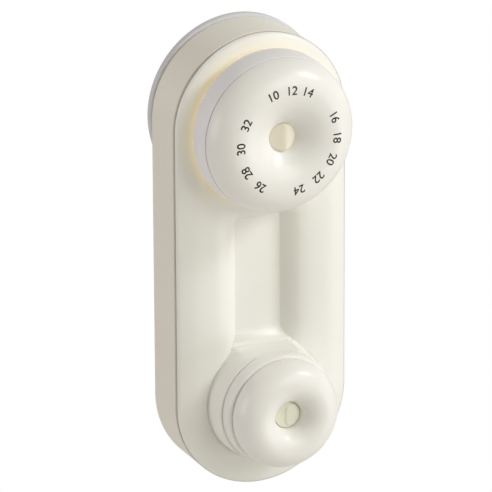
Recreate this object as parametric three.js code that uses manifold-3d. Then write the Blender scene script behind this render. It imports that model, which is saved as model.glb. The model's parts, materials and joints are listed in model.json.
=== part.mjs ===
// Wall thermostat with a large temperature dial and a small mode knob.
// Millimetres, +Z up, the front faces -Y. The origin is the centre of the dial's axis on the wall.
// "Depth" is always the distance in front of the wall, so a point at depth d has y = -d.
import * as THREE from "three";
import { mergeVertices } from "three/addons/utils/BufferGeometryUtils.js";
import Module from "manifold-3d";

const wasm = await Module();
wasm.setup();

// ---------------------------------------------------------------- driving dimensions
const GAP = 0.3; // clearance between pieces that seat on, or turn in, each other
const BODY_R = 43; // half the width of the body, and the radius of its round ends
const AXIS_DROP = 133.5; // from the dial's axis down to the knob's axis
const WALL = 2.2; // moulded wall of the case, the cover and the insert
const SEAM = 27; // depth of the joint between case and cover

// wall plate
const PLATE_PROUD = 0.4; // how far the round plate stands out past the body's edge
const PLATE_RISE = 0.9; // its centre lies this much above the dial's axis
const PLATE_T = 3;
const PLATE_EDGE = 0.6; // chamfer of its front edge
const BOX_SCREW_SPACING = 60; // screws of a European wall box
const SCREW_SLOT_R = 2.3;
const SCREW_SLOT_REACH = 3; // half the travel of the slotted holes
const SCREW_HEAD_R = 4.6;
const SCREW_HEAD_SINK = 1.5;
const CABLE_HOLE_R = 9;
const CABLE_HOLE_DROP = 22;
const CABLE_HOLE_EASE = 1; // how much wider the case's hole is
const HOOK_X = 11;
const HOOK_Z = [24, -5];
const HOOK_W = 8;
const HOOK_T = 2.2;
const HOOK_LIFT = 3; // how far the hook's nose rises behind the case's back wall

// rubber pad at the lower end
const PAD_R = 11;
const PAD_SINK = 1;
const PAD_LEAD = 1;
const PAD_FROM_END = 18; // from the body's lower end up to the pad

// rear case
const CASE_EDGE = 1; // rounding of the case's back edge
const SEAM_EDGE = 0.4; // chamfers on both sides of the joint, which show it as a fine groove
const VENT_COUNT = 7;
const VENT_PITCH = 6;
const VENT_W = 2.2;
const VENT_CUT = 4; // how far the vents reach in through the lower end's wall
const VENT_BACK = 4; // from the case's back wall to the vents
const VENT_FRONT = 6; // from the joint to the vents

// screws that hold the cover on, driven from the back
const CASE_SCREW_IN = 7.2; // from the body's edge
const CASE_SCREW_RISE = 20.3; // above each of the two axes
const CASE_SCREW_R = 1.5;
const CASE_SCREW_HEAD_R = 2.9;
const CASE_SCREW_HEAD = 1.9;
const CASE_SCREW_SINK = 0.1;
const CASE_POST_R = 4;
const CASE_SCREW_BITE = 7; // how far a screw reaches into the cover's post
const COVER_POST = 6; // how far the cover's posts reach behind the joint
const DRIVE_W = 0.8; // slots of the screw heads
const DRIVE_SINK = 0.7;
const ROOT = 0.5; // how deep a post or a pin is rooted in what carries it

// front cover
const EDGE_R = 2.5; // rounding of the cover's outer edge
const CREST = 4.8; // height of the cover's crown in front of the seam
const CREST_IN = 14; // from the cover's outer edge to the top of its crown
const LIP = 2.2; // how far the cover's lip reaches into the case
const LIP_T = 1.5;
const BUSH_POST = 3.5; // wall of the posts round the two bushes

// the long recess between the two controls
const SLOT_HALF = 11.5; // half its width at the floor
const SLOT_TOP = 46.6; // from the dial's axis down to its upper end
const SLOT_CORNER = 1;
const FLOOR_BACK = 2.7; // depth of its floor behind the seam
const BEVEL_OUT = 4.6; // its sloping walls, sideways
const MOUTH_OUT = 11.5; // width of the crown's fall towards the recess
const MOUTH_IN = 2.4; // and its depth

// fixed collar under the mode knob
const BOSS_R = 29; // at the recess's floor
const BOSS_FRONT_R = 28; // and at its front
const BOSS_REACH = 16; // its front face, in front of the seam
const BOSS_FLAT = 25.2; // height of its flat top, where the recess's floor runs up on to it
const SWEEP_R = 11; // fillet between the recess's floor and the flat
const RIM_BEVEL = 1.6; // bevel of the cover's rim round the collar

// light round the dial
const GLOW_SET = 3; // from the dial's edge in to the light guide
const GLOW_W = 6.4;
const GLOW_T = 1.7;
const GLOW_EDGE = 0.5;
const LED_BOARD_T = 1;
const LED_COUNT = 12;
const LED_W = 2.6;
const LED_L = 3.2;
const LED_T = 0.5;
const LED_SCREW_R = 1.1;
const LED_SCREW_HEAD_R = 2.1;
const LED_SCREW_HEAD = 1;
const LED_SCREW_TURN = Math.PI * 0.2;

// dial
const DIAL_R = 37.4; // grey ring round the dial, at its back edge
const DIAL_TAPER = 0.3;
const DIAL_BACK = 8.5; // its back edge, in front of the seam
const DIAL_SPLIT = 19.6; // where the cap begins
const DIAL_RING_T = 2.1;
const DIAL_EDGE = 0.4;
const DIAL_ROLL_R = 23.6; // the cap's roll: radius of its crest
const DIAL_ROLL = 13; // and of its section
const DIAL_ROLL_AT = 18.2; // centre of that section, in front of the seam
const DIAL_PIT_R = 7; // small disc in the middle of the dial's dimple
const DIAL_DIMPLE = 157; // the roll's angle, in degrees, where it runs out into that disc
const DIAL_PIT_AT = 23.2;
const DIAL_PIT_SINK = 0.8; // how deep that disc is let in
const DIAL_PIT_DOME = 0.6;
const CAP_T = 2.2; // wall of the dial's cap
const CARRIER_SET = 1.2; // how far the carrier lies inside the ring
const CARRIER_T = 1.8;
const CARRIER_HUB_R = 6.5;
const RIB_T = 1.4;
const RIB_H = 3.5;
const RIB_COUNT = 6;

// mode knob
const KNOB_R = 27.2; // ring of the mode knob
const KNOB_TAPER = 0.4;
const KNOB_RING_H = 6.3;
const KNOB_RING_T = 2.6;
const KNOB_EDGE = 0.5;
const KNOB_ROLL_R = 16; // the cap's roll: radius of its crest
const KNOB_ROLL = 9.7; // and of its section
const KNOB_ROLL_AT = 26.2; // centre of that section, in front of the seam
const KNOB_SHELL = 2;
const KNOB_PLATE_T = 1.6;
const KNOB_SET = 1.2; // from the selector's nut to the carrier
const KNOB_HUB_DROP = 3.6; // from the roll's centre back to the hub's front

// push button
const BUTTON_R = 5.9;
const BUTTON_FACE = 29.6; // front of the push button, in front of the seam
const BUTTON_T = 2.4;
const BUTTON_DOME = 0.7;
const BUTTON_TRAVEL = 1.3;
const STEM_R = 2.6;
const SPRING_WIRE = 0.45;
const SPRING_TURNS = 3;
const TACT_W = 6;
const TACT_H = 3.4;
const TACT_PIN_R = 1.7;
const TACT_PIN = 1;

// main board and what stands on it
const BOARD_T = 1.6;
const BOARD_BACK = 14.3; // depth of the board's back
const BOARD_SIDE = 14; // from the body's sides to the board
const BOARD_OVER = 16; // from the body's upper end to the board
const BOARD_UNDER = 19.5; // from the body's lower end to the board
const BOARD_CORNER = 8; // the straight part left at each end, either side of the middle
const BOARD_SCREW_IN = 7; // from the board's edges
const BOARD_SCREW_R = 1.25;
const BOARD_SCREW_HEAD_R = 2.5;
const BOARD_SCREW_HEAD = 1.5;
const BOARD_POST_R = 3.4;
const TERMINAL_POLES = 4;
const TERMINAL_PITCH = 5;
const TERMINAL_H = 8;
const TERMINAL_SET = 0.6; // clearance to the case's back wall
const TERMINAL_ENTRY = 3; // width and depth of each wire entry
const TERMINAL_SCREW_R = 1.6;
const TERMINAL_SCREW = 2.2;
const RELAY = { x: -14.5, z: -13, w: 12, h: 19, t: 9.5 };
const POWER_MODULE = { x: 15, z: -14, w: 12, h: 20, t: 8.5 };
const CHIP = { x: 0, z: -96, w: 7, h: 7, t: 1.2 };
const CAPACITOR_DROP = 8; // below the board's upper edge
const CAPACITOR_R = 4;
const CAPACITOR_H = 9;
const FUSE_Z = -34;
const FUSE_R = 2.3;
const FUSE_CAP_R = 2.6;
const FUSE_HALF = 10;
const FUSE_CAP = 5;
const SENSOR_R = 1.6;
const SENSOR_DROP = 6.5; // below the board's lower edge
const SENSOR_LEG = 0.6;
const SENSOR_LEG_X = 1.3;

// encoder under the dial
const SHAFT_R = 3;
const BUSH_R = 4.5;
const ENCODER_W = 14;
const ENCODER_H = 6.8;
const NUT_R = 7;
const NUT_T = 2;
const WASHER_R = 8;
const WASHER_T = 0.8;
const SHAFT_FLAT = 0.9; // how much the flat takes off the shaft
const THREAD_OUT = 1; // what a bush shows past its nut

// mode selector under the knob
const SELECTOR_R = 12;
const SELECTOR_H = 9.5;
const TUBE_R = 4.6;
const SELECTOR_BUSH_R = 6.4;
const SELECTOR_NUT_R = 9.4;

// sides of round pieces
const FINE = 32;
const PLAIN = 20;
const SMALL = 10;

// ---------------------------------------------------------------- places worked out from them
const PLATE_R = BODY_R + PLATE_PROUD;
const SEAT = PLATE_T + GAP; // depth of the case's back
const INNER_BACK = SEAT + WALL;
const FLOOR = SEAM - FLOOR_BACK;
const BEVEL_IN = CREST - MOUTH_IN + FLOOR_BACK - GAP; // the recess's walls run down to its floor
const DECK = SEAM + CREST; // depth of the cover's crest
const BOSS_FRONT = SEAM + BOSS_REACH;
const PAD_DROP = AXIS_DROP + BODY_R - PAD_FROM_END - PAD_R;
const BOARD_FRONT = BOARD_BACK + BOARD_T;
const BOARD_HALF = BODY_R - BOARD_SIDE;
const BOARD_TOP = BODY_R - BOARD_OVER;
const BOARD_BOTTOM = BOARD_UNDER - AXIS_DROP - BODY_R;
const ON_BOARD = BOARD_FRONT + GAP;
const COVER_POST_FROM = SEAM - COVER_POST;
const GLOW_R = DIAL_R - GLOW_SET;
const GLOW_IN = GLOW_R - GLOW_W;
const LED_R = (GLOW_IN + GLOW_R) / 2;
const LED_BOARD_IN = WASHER_R + 4;
const LED_BOARD_FROM = DECK + GAP;
const LED_BOARD_TO = LED_BOARD_FROM + LED_BOARD_T;

// Two by two, mirrored about the body's middle: the lower pair along the straight sides, clear of
// the collar, and the upper pair in the round end.
const caseScrewR = BODY_R - CASE_SCREW_IN;
const upperScrewX = Math.sqrt(caseScrewR ** 2 - CASE_SCREW_RISE ** 2);
const CASE_SCREWS = [-1, 1].flatMap((side) => [
  [side * caseScrewR, CASE_SCREW_RISE - AXIS_DROP],
  [side * upperScrewX, CASE_SCREW_RISE],
]);
const boardScrewX = BOARD_HALF - BOARD_SCREW_IN;
const BOARD_SCREWS = [BOARD_TOP - BOARD_SCREW_IN, BOARD_BOTTOM + BOARD_SCREW_IN].flatMap((z) => [
  [-boardScrewX, z],
  [boardScrewX, z],
]);
const ledScrewR = (LED_BOARD_IN + GLOW_IN) / 2;
const LED_SCREWS = [-1, 1].map((side) => [
  side * ledScrewR * Math.cos(LED_SCREW_TURN),
  -side * ledScrewR * Math.sin(LED_SCREW_TURN),
]);

// ---------------------------------------------------------------- materials
const plastic = (color, roughness = 0.45) =>
  new THREE.MeshStandardMaterial({ color, roughness, metalness: 0 });
const metal = (color, roughness = 0.35) =>
  new THREE.MeshStandardMaterial({ color, roughness, metalness: 1 });

const CREAM = plastic(0xece8dc);
const PLATE_GREY = plastic(0xb7b9b8, 0.55);
const RING_GREY = plastic(0xe6e3e6);
const BUTTON_CREAM = plastic(0xe3e2cf);
const WHITE = plastic(0xe9e9e6, 0.5);
const BLACK = plastic(0x1d1d1f, 0.5);
const RUBBER = plastic(0x3a3a3a, 0.9);
const AMBER = new THREE.MeshStandardMaterial({ color: 0xffd98a, roughness: 0.3, emissive: 0x7a5410 });
const BOARD_GREEN = plastic(0x1f5a38, 0.4);
const RELAY_BLUE = plastic(0x23528c, 0.4);
const TERMINAL_GREEN = plastic(0x3d8a52, 0.5);
const STEEL = metal(0xb9bcbf);
const BRASS = metal(0xc9a456);
const GLASS = plastic(0xdfe6e8, 0.1);

// ---------------------------------------------------------------- solids
// A closed three.js geometry as a solid that can be joined and cut.
function solid(geometry) {
  const bare = geometry.clone();
  for (const name of Object.keys(bare.attributes)) {
    if (name !== "position") bare.deleteAttribute(name);
  }
  const merged = mergeVertices(bare, 1e-4);
  return new wasm.Manifold(
    new wasm.Mesh({
      numProp: 3,
      vertProperties: merged.attributes.position.array,
      triVerts: new Uint32Array(merged.index.array),
    }),
  );
}

function geometryOf(body) {
  const mesh = body.getMesh();
  const geometry = new THREE.BufferGeometry();
  geometry.setAttribute("position", new THREE.BufferAttribute(mesh.vertProperties, 3));
  geometry.setIndex(new THREE.BufferAttribute(mesh.triVerts, 1));
  geometry.computeVertexNormals();
  return geometry;
}

const union = (...bodies) => bodies.reduce((whole, next) => whole.add(next));
const cut = (body, ...tools) => tools.reduce((rest, tool) => rest.subtract(tool), body);

// A closed profile of [radius, depth] pairs turned round the Y axis.
function turned(profile, sides = PLAIN) {
  const points = profile.map(([radius, depth]) => new THREE.Vector2(radius, -depth));
  if (THREE.ShapeUtils.area(points) < 0) points.reverse();
  points.push(points[0].clone());
  return solid(new THREE.LatheGeometry(points, sides));
}

const disc = (radius, from, to, sides = PLAIN) =>
  turned([[0, from], [radius, from], [radius, to], [0, to]], sides);

const tube = (outer, inner, from, to, sides = PLAIN) =>
  turned([[inner, from], [outer, from], [outer, to], [inner, to]], sides);

// A flat outline in X and Z, given thickness from one depth to another.
function slab(shape, from, to) {
  const geometry = new THREE.ExtrudeGeometry(shape, {
    depth: to - from,
    bevelEnabled: false,
    curveSegments: 4,
  });
  geometry.translate(0, 0, from);
  geometry.rotateX(Math.PI / 2);
  return solid(geometry);
}

// A box by its middle in X and Z, its size, and its two depths.
function block(x, z, width, height, from, to) {
  const geometry = new THREE.BoxGeometry(width, to - from, height);
  geometry.translate(x, -(from + to) / 2, z);
  return solid(geometry);
}

// A pin or a hole along the depth, away from the Y axis.
const rod = (x, z, radius, from, to, sides = SMALL) => disc(radius, from, to, sides).translate([x, 0, z]);

// Outlines with the same number of points, each at its own depth, joined into one body.
function loft(layers) {
  const count = layers[0].outline.length;
  const position = layers.flatMap(({ outline, depth }) => outline.flatMap((p) => [p.x, -depth, p.y]));
  const index = [];
  for (let layer = 0; layer + 1 < layers.length; layer += 1) {
    for (let i = 0; i < count; i += 1) {
      const a = layer * count + i;
      const b = layer * count + ((i + 1) % count);
      index.push(a, a + count, b, b, a + count, b + count);
    }
  }
  const last = (layers.length - 1) * count;
  for (let i = 1; i + 1 < count; i += 1) {
    index.push(0, i, i + 1);
    index.push(last, last + i + 1, last + i);
  }
  const geometry = new THREE.BufferGeometry();
  geometry.setAttribute("position", new THREE.Float32BufferAttribute(position, 3));
  geometry.setIndex(index);
  const body = solid(geometry);
  if (body.volume() > 0) return body;
  for (let i = 0; i < index.length; i += 3) [index[i + 1], index[i + 2]] = [index[i + 2], index[i + 1]];
  geometry.setIndex(index);
  return solid(geometry);
}

// One outline carried straight from one depth to another.
const straight = (outline, from, to) => loft([{ outline, depth: from }, { outline, depth: to }]);

const arc = (x, z, radius, from, to, steps) =>
  Array.from({ length: steps + 1 }, (_, i) => {
    const angle = from + ((to - from) * i) / steps;
    return new THREE.Vector2(x + radius * Math.cos(angle), z + radius * Math.sin(angle));
  });

// A regular shape with this many corners.
const polygon = (radius, sides) =>
  new THREE.Shape(arc(0, 0, radius, 0, 2 * Math.PI * (1 - 1 / sides), sides - 1));

// The body's outline: two half circles round the two axes.
function bodyOutline(radius) {
  const half = FINE / 2;
  return [
    ...arc(0, 0, radius, 0, Math.PI, half),
    ...arc(0, -AXIS_DROP, radius, Math.PI, 2 * Math.PI, half),
  ];
}

// The recess's outline: square at the top, round below, where the collar stands in it.
function slotOutline(offset) {
  const half = SLOT_HALF + offset;
  const corner = SLOT_CORNER + offset;
  const top = -SLOT_TOP + offset - corner;
  return [
    ...arc(half - corner, top, corner, 0, Math.PI / 2, 3),
    ...arc(corner - half, top, corner, Math.PI / 2, Math.PI, 3),
    ...arc(0, -AXIS_DROP, half, Math.PI, 2 * Math.PI, 8),
  ];
}

// ---------------------------------------------------------------- wall side
function wallPlate() {
  let plate = turned(
    [
      [0, 0],
      [PLATE_R, 0],
      [PLATE_R, PLATE_T - PLATE_EDGE],
      [PLATE_R - PLATE_EDGE, PLATE_T],
      [0, PLATE_T],
    ],
    FINE,
  ).translate([0, 0, PLATE_RISE]);
  plate = plate.subtract(rod(0, -CABLE_HOLE_DROP, CABLE_HOLE_R, -1, PLATE_T + 1, PLAIN));
  for (const side of [-1, 1]) {
    const x = (side * BOX_SCREW_SPACING) / 2;
    plate = cut(
      plate,
      slab(slotHole(x, SCREW_SLOT_R, SCREW_SLOT_REACH), -1, PLATE_T + 1),
      slab(slotHole(x, SCREW_HEAD_R, SCREW_SLOT_REACH), PLATE_T - SCREW_HEAD_SINK, PLATE_T + 1),
    );
    for (const z of HOOK_Z) plate = plate.add(hook(side * HOOK_X, z));
  }
  return plate;
}

// An upright slotted hole: two half circles, one above the other.
function slotHole(x, radius, reach) {
  const shape = new THREE.Shape();
  shape.absarc(x, reach, radius, 0, Math.PI);
  shape.absarc(x, -reach, radius, Math.PI, 2 * Math.PI);
  return shape.closePath();
}

// A moulded hook that the case hangs on, with its nose behind the case's back wall.
function hook(x, z) {
  const nose = INNER_BACK + GAP;
  const stem = block(x, z, HOOK_W, HOOK_T, PLATE_T - 0.5, nose + HOOK_T);
  const lip = block(x, z + HOOK_LIFT / 2, HOOK_W, HOOK_T + HOOK_LIFT, nose, nose + HOOK_T);
  return stem.add(lip);
}

// The case's window for a hook: the nose passes through it before the case slides down.
const hookWindow = (x, z) =>
  block(x, z + HOOK_LIFT / 2, HOOK_W + 2 * GAP, HOOK_T + HOOK_LIFT + 2 * GAP, SEAT - 1, INNER_BACK + 1);

function footPad() {
  const front = SEAT + PAD_SINK - GAP;
  return turned([[0, 0], [PAD_R - PAD_LEAD, 0], [PAD_R, PAD_LEAD], [PAD_R, front], [0, front]])
    .translate([0, 0, -PAD_DROP]);
}

// ---------------------------------------------------------------- case
function rearCase() {
  const front = SEAM - GAP / 2;
  const rounding = [0, 1, 2].map((step) => {
    const angle = (step * Math.PI) / 4;
    return {
      outline: bodyOutline(BODY_R - CASE_EDGE * (1 - Math.sin(angle))),
      depth: SEAT + CASE_EDGE * (1 - Math.cos(angle)),
    };
  });
  const outside = loft([
    ...rounding,
    { outline: bodyOutline(BODY_R), depth: front - SEAM_EDGE },
    { outline: bodyOutline(BODY_R - SEAM_EDGE), depth: front },
  ]);
  let body = outside.subtract(straight(bodyOutline(BODY_R - WALL), INNER_BACK, front + 1));
  for (const [x, z] of BOARD_SCREWS) {
    body = body.add(rod(x, z, BOARD_POST_R, INNER_BACK - ROOT, BOARD_BACK - GAP));
    body = body.subtract(rod(x, z, BOARD_SCREW_R + GAP, INNER_BACK, BOARD_BACK));
  }
  for (const [x, z] of CASE_SCREWS) {
    body = body.add(rod(x, z, CASE_POST_R, INNER_BACK - ROOT, COVER_POST_FROM - GAP));
    body = cut(
      body,
      rod(x, z, CASE_SCREW_R + GAP, SEAT - 1, COVER_POST_FROM),
      rod(x, z, CASE_SCREW_HEAD_R + GAP, SEAT - 1, SEAT + CASE_SCREW_HEAD + GAP),
    );
  }
  for (const side of [-1, 1]) {
    for (const z of HOOK_Z) body = body.subtract(hookWindow(side * HOOK_X, z));
  }
  return cut(
    body,
    rod(0, -CABLE_HOLE_DROP, CABLE_HOLE_R + CABLE_HOLE_EASE, SEAT - 1, INNER_BACK + 1, PLAIN),
    rod(0, -PAD_DROP, PAD_R + GAP, SEAT - 1, SEAT + PAD_SINK, PLAIN),
    ...vents(),
  );
}

// Upright slots through the lower end's wall, side by side, that let room air in to the sensor.
function vents() {
  const lowEnd = -AXIS_DROP - BODY_R;
  return Array.from({ length: VENT_COUNT }, (_, i) => {
    const x = (i - (VENT_COUNT - 1) / 2) * VENT_PITCH;
    const height = 2 * (VENT_CUT + WALL);
    return block(x, lowEnd + VENT_CUT, VENT_W, height, INNER_BACK + VENT_BACK, SEAM - VENT_FRONT);
  });
}

function caseScrew(x, z) {
  const back = SEAT + CASE_SCREW_SINK;
  const head = rod(x, z, CASE_SCREW_HEAD_R, back, back + CASE_SCREW_HEAD);
  const shank = rod(x, z, CASE_SCREW_R, back + ROOT, COVER_POST_FROM + CASE_SCREW_BITE);
  return cut(
    head.add(shank),
    block(x, z, 2 * CASE_SCREW_R, DRIVE_W, back - 1, back + DRIVE_SINK),
    block(x, z, DRIVE_W, 2 * CASE_SCREW_R, back - 1, back + DRIVE_SINK),
  );
}

// ---------------------------------------------------------------- front cover
// Height of the crown above the seam, at a distance in from the outer edge.
function crown(inward) {
  if (inward < EDGE_R) return Math.sqrt(EDGE_R * EDGE_R - (EDGE_R - inward) ** 2);
  const run = (CREST_IN - inward) / (CREST_IN - EDGE_R);
  return EDGE_R + (CREST - EDGE_R) * (1 - Math.max(run, 0) ** 2);
}

const OUTER_STEPS = [0, 0.15, 0.5, 1, 2.6].map((share) => share * EDGE_R).concat(CREST_IN);
const INNER_STEPS = [0, EDGE_R, CREST_IN];

// The pillow: the body's outline stepping inwards as it rises, set back by a wall for its inside.
function pillow(setBack, from, steps) {
  const base = SEAM + GAP / 2 - setBack;
  const layers = steps.map((inward) => ({
    outline: bodyOutline(BODY_R - setBack - inward),
    depth: base + Math.max(crown(inward), SEAM_EDGE),
  }));
  return loft([{ outline: bodyOutline(BODY_R - setBack - SEAM_EDGE), depth: from }, ...layers]);
}

// The recess's opening, with the crown's fall and the bevel round its mouth. Grown by a wall, the
// same form is the cover's material round the mouth.
function mouth(grow, from) {
  const edge = DECK - MOUTH_IN - grow;
  const fall = [0.33, 0.66, 1].map((share) => ({
    outline: slotOutline(grow + BEVEL_OUT + MOUTH_OUT * share),
    depth: edge + MOUTH_IN * (1 - (1 - share) ** 2),
  }));
  return loft([
    { outline: slotOutline(grow), depth: from },
    { outline: slotOutline(grow), depth: edge - BEVEL_IN },
    { outline: slotOutline(grow + BEVEL_OUT), depth: edge },
    ...fall,
    { outline: slotOutline(grow + BEVEL_OUT + MOUTH_OUT), depth: DECK + 5 },
  ]);
}

// A round body about the knob's axis, as large as the collar.
const collarRound = (radius, from, to) => rod(0, -AXIS_DROP, radius, from, to, FINE);

// The cover's lip, which centres it in the case.
function coverLip() {
  const out = BODY_R - WALL - GAP;
  const from = SEAM - LIP;
  const to = SEAM + WALL;
  return straight(bodyOutline(out), from, to).subtract(straight(bodyOutline(out - LIP_T), from - 1, to + 1));
}

// The bevel of the cover's rim, as a cutter.
function rimBevel() {
  const hole = BOSS_R + GAP;
  const from = DECK - RIM_BEVEL;
  return turned([[0, from], [hole, from], [hole + RIM_BEVEL + 1, DECK + 1], [0, DECK + 1]], FINE)
    .translate([0, 0, -AXIS_DROP]);
}

function frontCover() {
  const backOfFloor = FLOOR - WALL - 1;
  const sleeveFrom = FLOOR + GAP;
  const shell = pillow(0, SEAM + GAP / 2, OUTER_STEPS).subtract(pillow(WALL, SEAM - WALL - 1, INNER_STEPS));
  const sleeve = mouth(WALL, backOfFloor).add(collarRound(BOSS_R + GAP + WALL, backOfFloor, DECK + 1));
  const bushFrom = BOARD_FRONT + ENCODER_H + 2 * GAP;
  const bushPost = disc(BUSH_R + GAP + BUSH_POST, bushFrom, DECK + 1);
  const screwPosts = CASE_SCREWS.map(([x, z]) => rod(x, z, CASE_POST_R, COVER_POST_FROM, DECK + 1));
  // What stands on the inside is trimmed to the cover's outer skin, and the sleeve to the floor.
  const posts = union(bushPost, ...screwPosts).intersect(pillow(0, backOfFloor - BOARD_BACK, OUTER_STEPS));
  const walls = sleeve.intersect(pillow(0, sleeveFrom, OUTER_STEPS));
  return cut(
    union(shell, coverLip(), posts, walls),
    mouth(0, backOfFloor),
    collarRound(BOSS_R + GAP, backOfFloor, DECK + 2),
    rimBevel(),
    disc(BUSH_R + GAP, BOARD_FRONT, DECK + 2),
    ...LED_SCREWS.map(([x, z]) => rod(x, z, LED_SCREW_R + GAP / 2, DECK - WALL - 1, DECK + 2)),
    ...CASE_SCREWS.map(([x, z]) =>
      rod(x, z, CASE_SCREW_R + GAP / 2, COVER_POST_FROM - 1, COVER_POST_FROM + CASE_SCREW_BITE + ROOT),
    ),
  );
}

// ---------------------------------------------------------------- centre insert: recess floor and collar
function centreInsert() {
  const back = FLOOR - WALL;
  const floor = straight(slotOutline(WALL), back, FLOOR);
  const flange = collarRound(BOSS_R + GAP + WALL, back, FLOOR);
  const profile = [[0, back], [BOSS_R, back], [BOSS_R, FLOOR], [BOSS_FRONT_R, BOSS_FRONT], [0, BOSS_FRONT]];
  const collar = turned(profile, FINE).translate([0, 0, -AXIS_DROP]).subtract(aboveFlat());
  const bushR = SELECTOR_BUSH_R + GAP;
  const post = rod(0, -AXIS_DROP, bushR + BUSH_POST, SELECTOR_TOP + GAP, BOSS_FRONT - 1, PLAIN);
  const bore = rod(0, -AXIS_DROP, bushR, SELECTOR_TOP - 1, BOSS_FRONT + 1, PLAIN);
  return union(floor, flange, collar, slotSweep()).subtract(collarHollow()).add(post).subtract(bore);
}

// What is taken off the collar's top: all of it above the flat, and in the recess down to the floor.
function aboveFlat() {
  const middle = -AXIS_DROP + BOSS_FLAT + BOSS_R / 2;
  const wide = block(0, middle, 3 * BOSS_R, BOSS_R, SEAM, BOSS_FRONT + 1);
  return wide.add(block(0, middle, 2 * (SLOT_HALF - GAP), BOSS_R, FLOOR, BOSS_FRONT + 1));
}

// The collar's inside, open at the back and closed by a wall at the front and under the flat.
function collarHollow() {
  const back = FLOOR - WALL - 1;
  const keep = block(0, -AXIS_DROP + BOSS_FLAT - WALL + BOSS_R / 2, 3 * BOSS_R, BOSS_R, back - 1, BOSS_FRONT);
  return collarRound(BOSS_FRONT_R - WALL, back, BOSS_FRONT - WALL).subtract(keep);
}

// The fillet that carries the recess's floor up on to the collar.
function slotSweep() {
  const z = -AXIS_DROP + BOSS_FLAT;
  const bend = arc(FLOOR + SWEEP_R, z + SWEEP_R, SWEEP_R, Math.PI, 1.5 * Math.PI, 10);
  const side = new THREE.Shape([
    new THREE.Vector2(FLOOR - 1, z - 1),
    new THREE.Vector2(FLOOR - 1, z + SWEEP_R),
    ...bend,
    new THREE.Vector2(FLOOR + SWEEP_R, z - 1),
  ]);
  const width = 2 * (SLOT_HALF - GAP);
  const geometry = new THREE.ExtrudeGeometry(side, { depth: width, bevelEnabled: false });
  // The profile's x is depth and its y is height; it is extruded along X.
  const turn = new THREE.Matrix4().makeBasis(
    new THREE.Vector3(0, -1, 0),
    new THREE.Vector3(0, 0, 1),
    new THREE.Vector3(-1, 0, 0),
  );
  geometry.applyMatrix4(turn);
  geometry.translate(width / 2, 0, 0);
  return solid(geometry);
}

// ---------------------------------------------------------------- light round the dial
function ledBoard() {
  const holes = LED_SCREWS.map(([x, z]) =>
    rod(x, z, LED_SCREW_R + GAP, LED_BOARD_FROM - 1, LED_BOARD_TO + 1),
  );
  const board = cut(tube(GLOW_R - 1, LED_BOARD_IN, LED_BOARD_FROM, LED_BOARD_TO, FINE), ...holes);
  const led = block(LED_R, 0, LED_W, LED_L, LED_BOARD_TO - LED_T / 2, LED_BOARD_TO + LED_T);
  const leds = Array.from({ length: LED_COUNT }, (_, i) => led.rotate([0, (360 * i) / LED_COUNT, 0]));
  return union(board, ...leds);
}

function ledScrew(x, z) {
  const seat = LED_BOARD_TO + GAP / 2;
  const head = rod(x, z, LED_SCREW_HEAD_R, seat, seat + LED_SCREW_HEAD);
  return head.add(rod(x, z, LED_SCREW_R, DECK - WALL - ROOT, seat + ROOT));
}

function glowRing() {
  const from = LED_BOARD_TO + LED_T + GAP;
  const to = from + GLOW_T;
  return turned(
    [[GLOW_IN, from], [GLOW_R, from], [GLOW_R, to - GLOW_EDGE], [GLOW_R - GLOW_EDGE, to], [GLOW_IN, to]],
    FINE,
  );
}

// ---------------------------------------------------------------- electronics
function mainBoard() {
  const shape = new THREE.Shape();
  const corner = BOARD_HALF - BOARD_CORNER;
  shape.absarc(BOARD_CORNER, BOARD_TOP - corner, corner, 0, Math.PI / 2);
  shape.absarc(-BOARD_CORNER, BOARD_TOP - corner, corner, Math.PI / 2, Math.PI);
  shape.absarc(-BOARD_CORNER, BOARD_BOTTOM + corner, corner, Math.PI, 1.5 * Math.PI);
  shape.absarc(BOARD_CORNER, BOARD_BOTTOM + corner, corner, 1.5 * Math.PI, 2 * Math.PI);
  shape.closePath();
  return cut(
    slab(shape, BOARD_BACK, BOARD_FRONT),
    ...BOARD_SCREWS.map(([x, z]) => rod(x, z, BOARD_SCREW_R + GAP, BOARD_BACK - 1, BOARD_FRONT + 1)),
    ...CASE_SCREWS.map(([x, z]) => rod(x, z, CASE_POST_R + 2 * GAP, BOARD_BACK - 1, BOARD_FRONT + 1)),
  );
}

function boardScrew(x, z) {
  const from = BOARD_FRONT + GAP / 2;
  const front = from + BOARD_SCREW_HEAD;
  const head = rod(x, z, BOARD_SCREW_HEAD_R, from, front);
  const shank = rod(x, z, BOARD_SCREW_R, INNER_BACK + 2 * ROOT, from + ROOT);
  return cut(head.add(shank), block(x, z, 2 * BOARD_SCREW_R, DRIVE_W, front - DRIVE_SINK, front + 1));
}

const TERMINAL_Z = -CABLE_HOLE_DROP;
const TERMINAL_FROM = INNER_BACK + TERMINAL_SET;
const TERMINAL_TO = BOARD_BACK - GAP;
const poleX = (pole) => (pole - (TERMINAL_POLES - 1) / 2) * TERMINAL_PITCH;

// The mains terminals, on the board's back, reached through the wall plate's cable hole.
function terminalBlock() {
  const width = TERMINAL_POLES * TERMINAL_PITCH + 1;
  let body = block(0, TERMINAL_Z, width, TERMINAL_H, TERMINAL_FROM, TERMINAL_TO);
  const entryTo = TERMINAL_TO - 1;
  for (let pole = 0; pole < TERMINAL_POLES; pole += 1) {
    const x = poleX(pole);
    const low = TERMINAL_Z - TERMINAL_H / 2;
    body = cut(
      body,
      block(x, low, TERMINAL_ENTRY, 2 * TERMINAL_ENTRY, entryTo - TERMINAL_ENTRY, entryTo),
      rod(x, TERMINAL_Z + 1, TERMINAL_SCREW_R + GAP, TERMINAL_FROM - 1, TERMINAL_FROM + TERMINAL_SCREW),
    );
  }
  return body;
}

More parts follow.
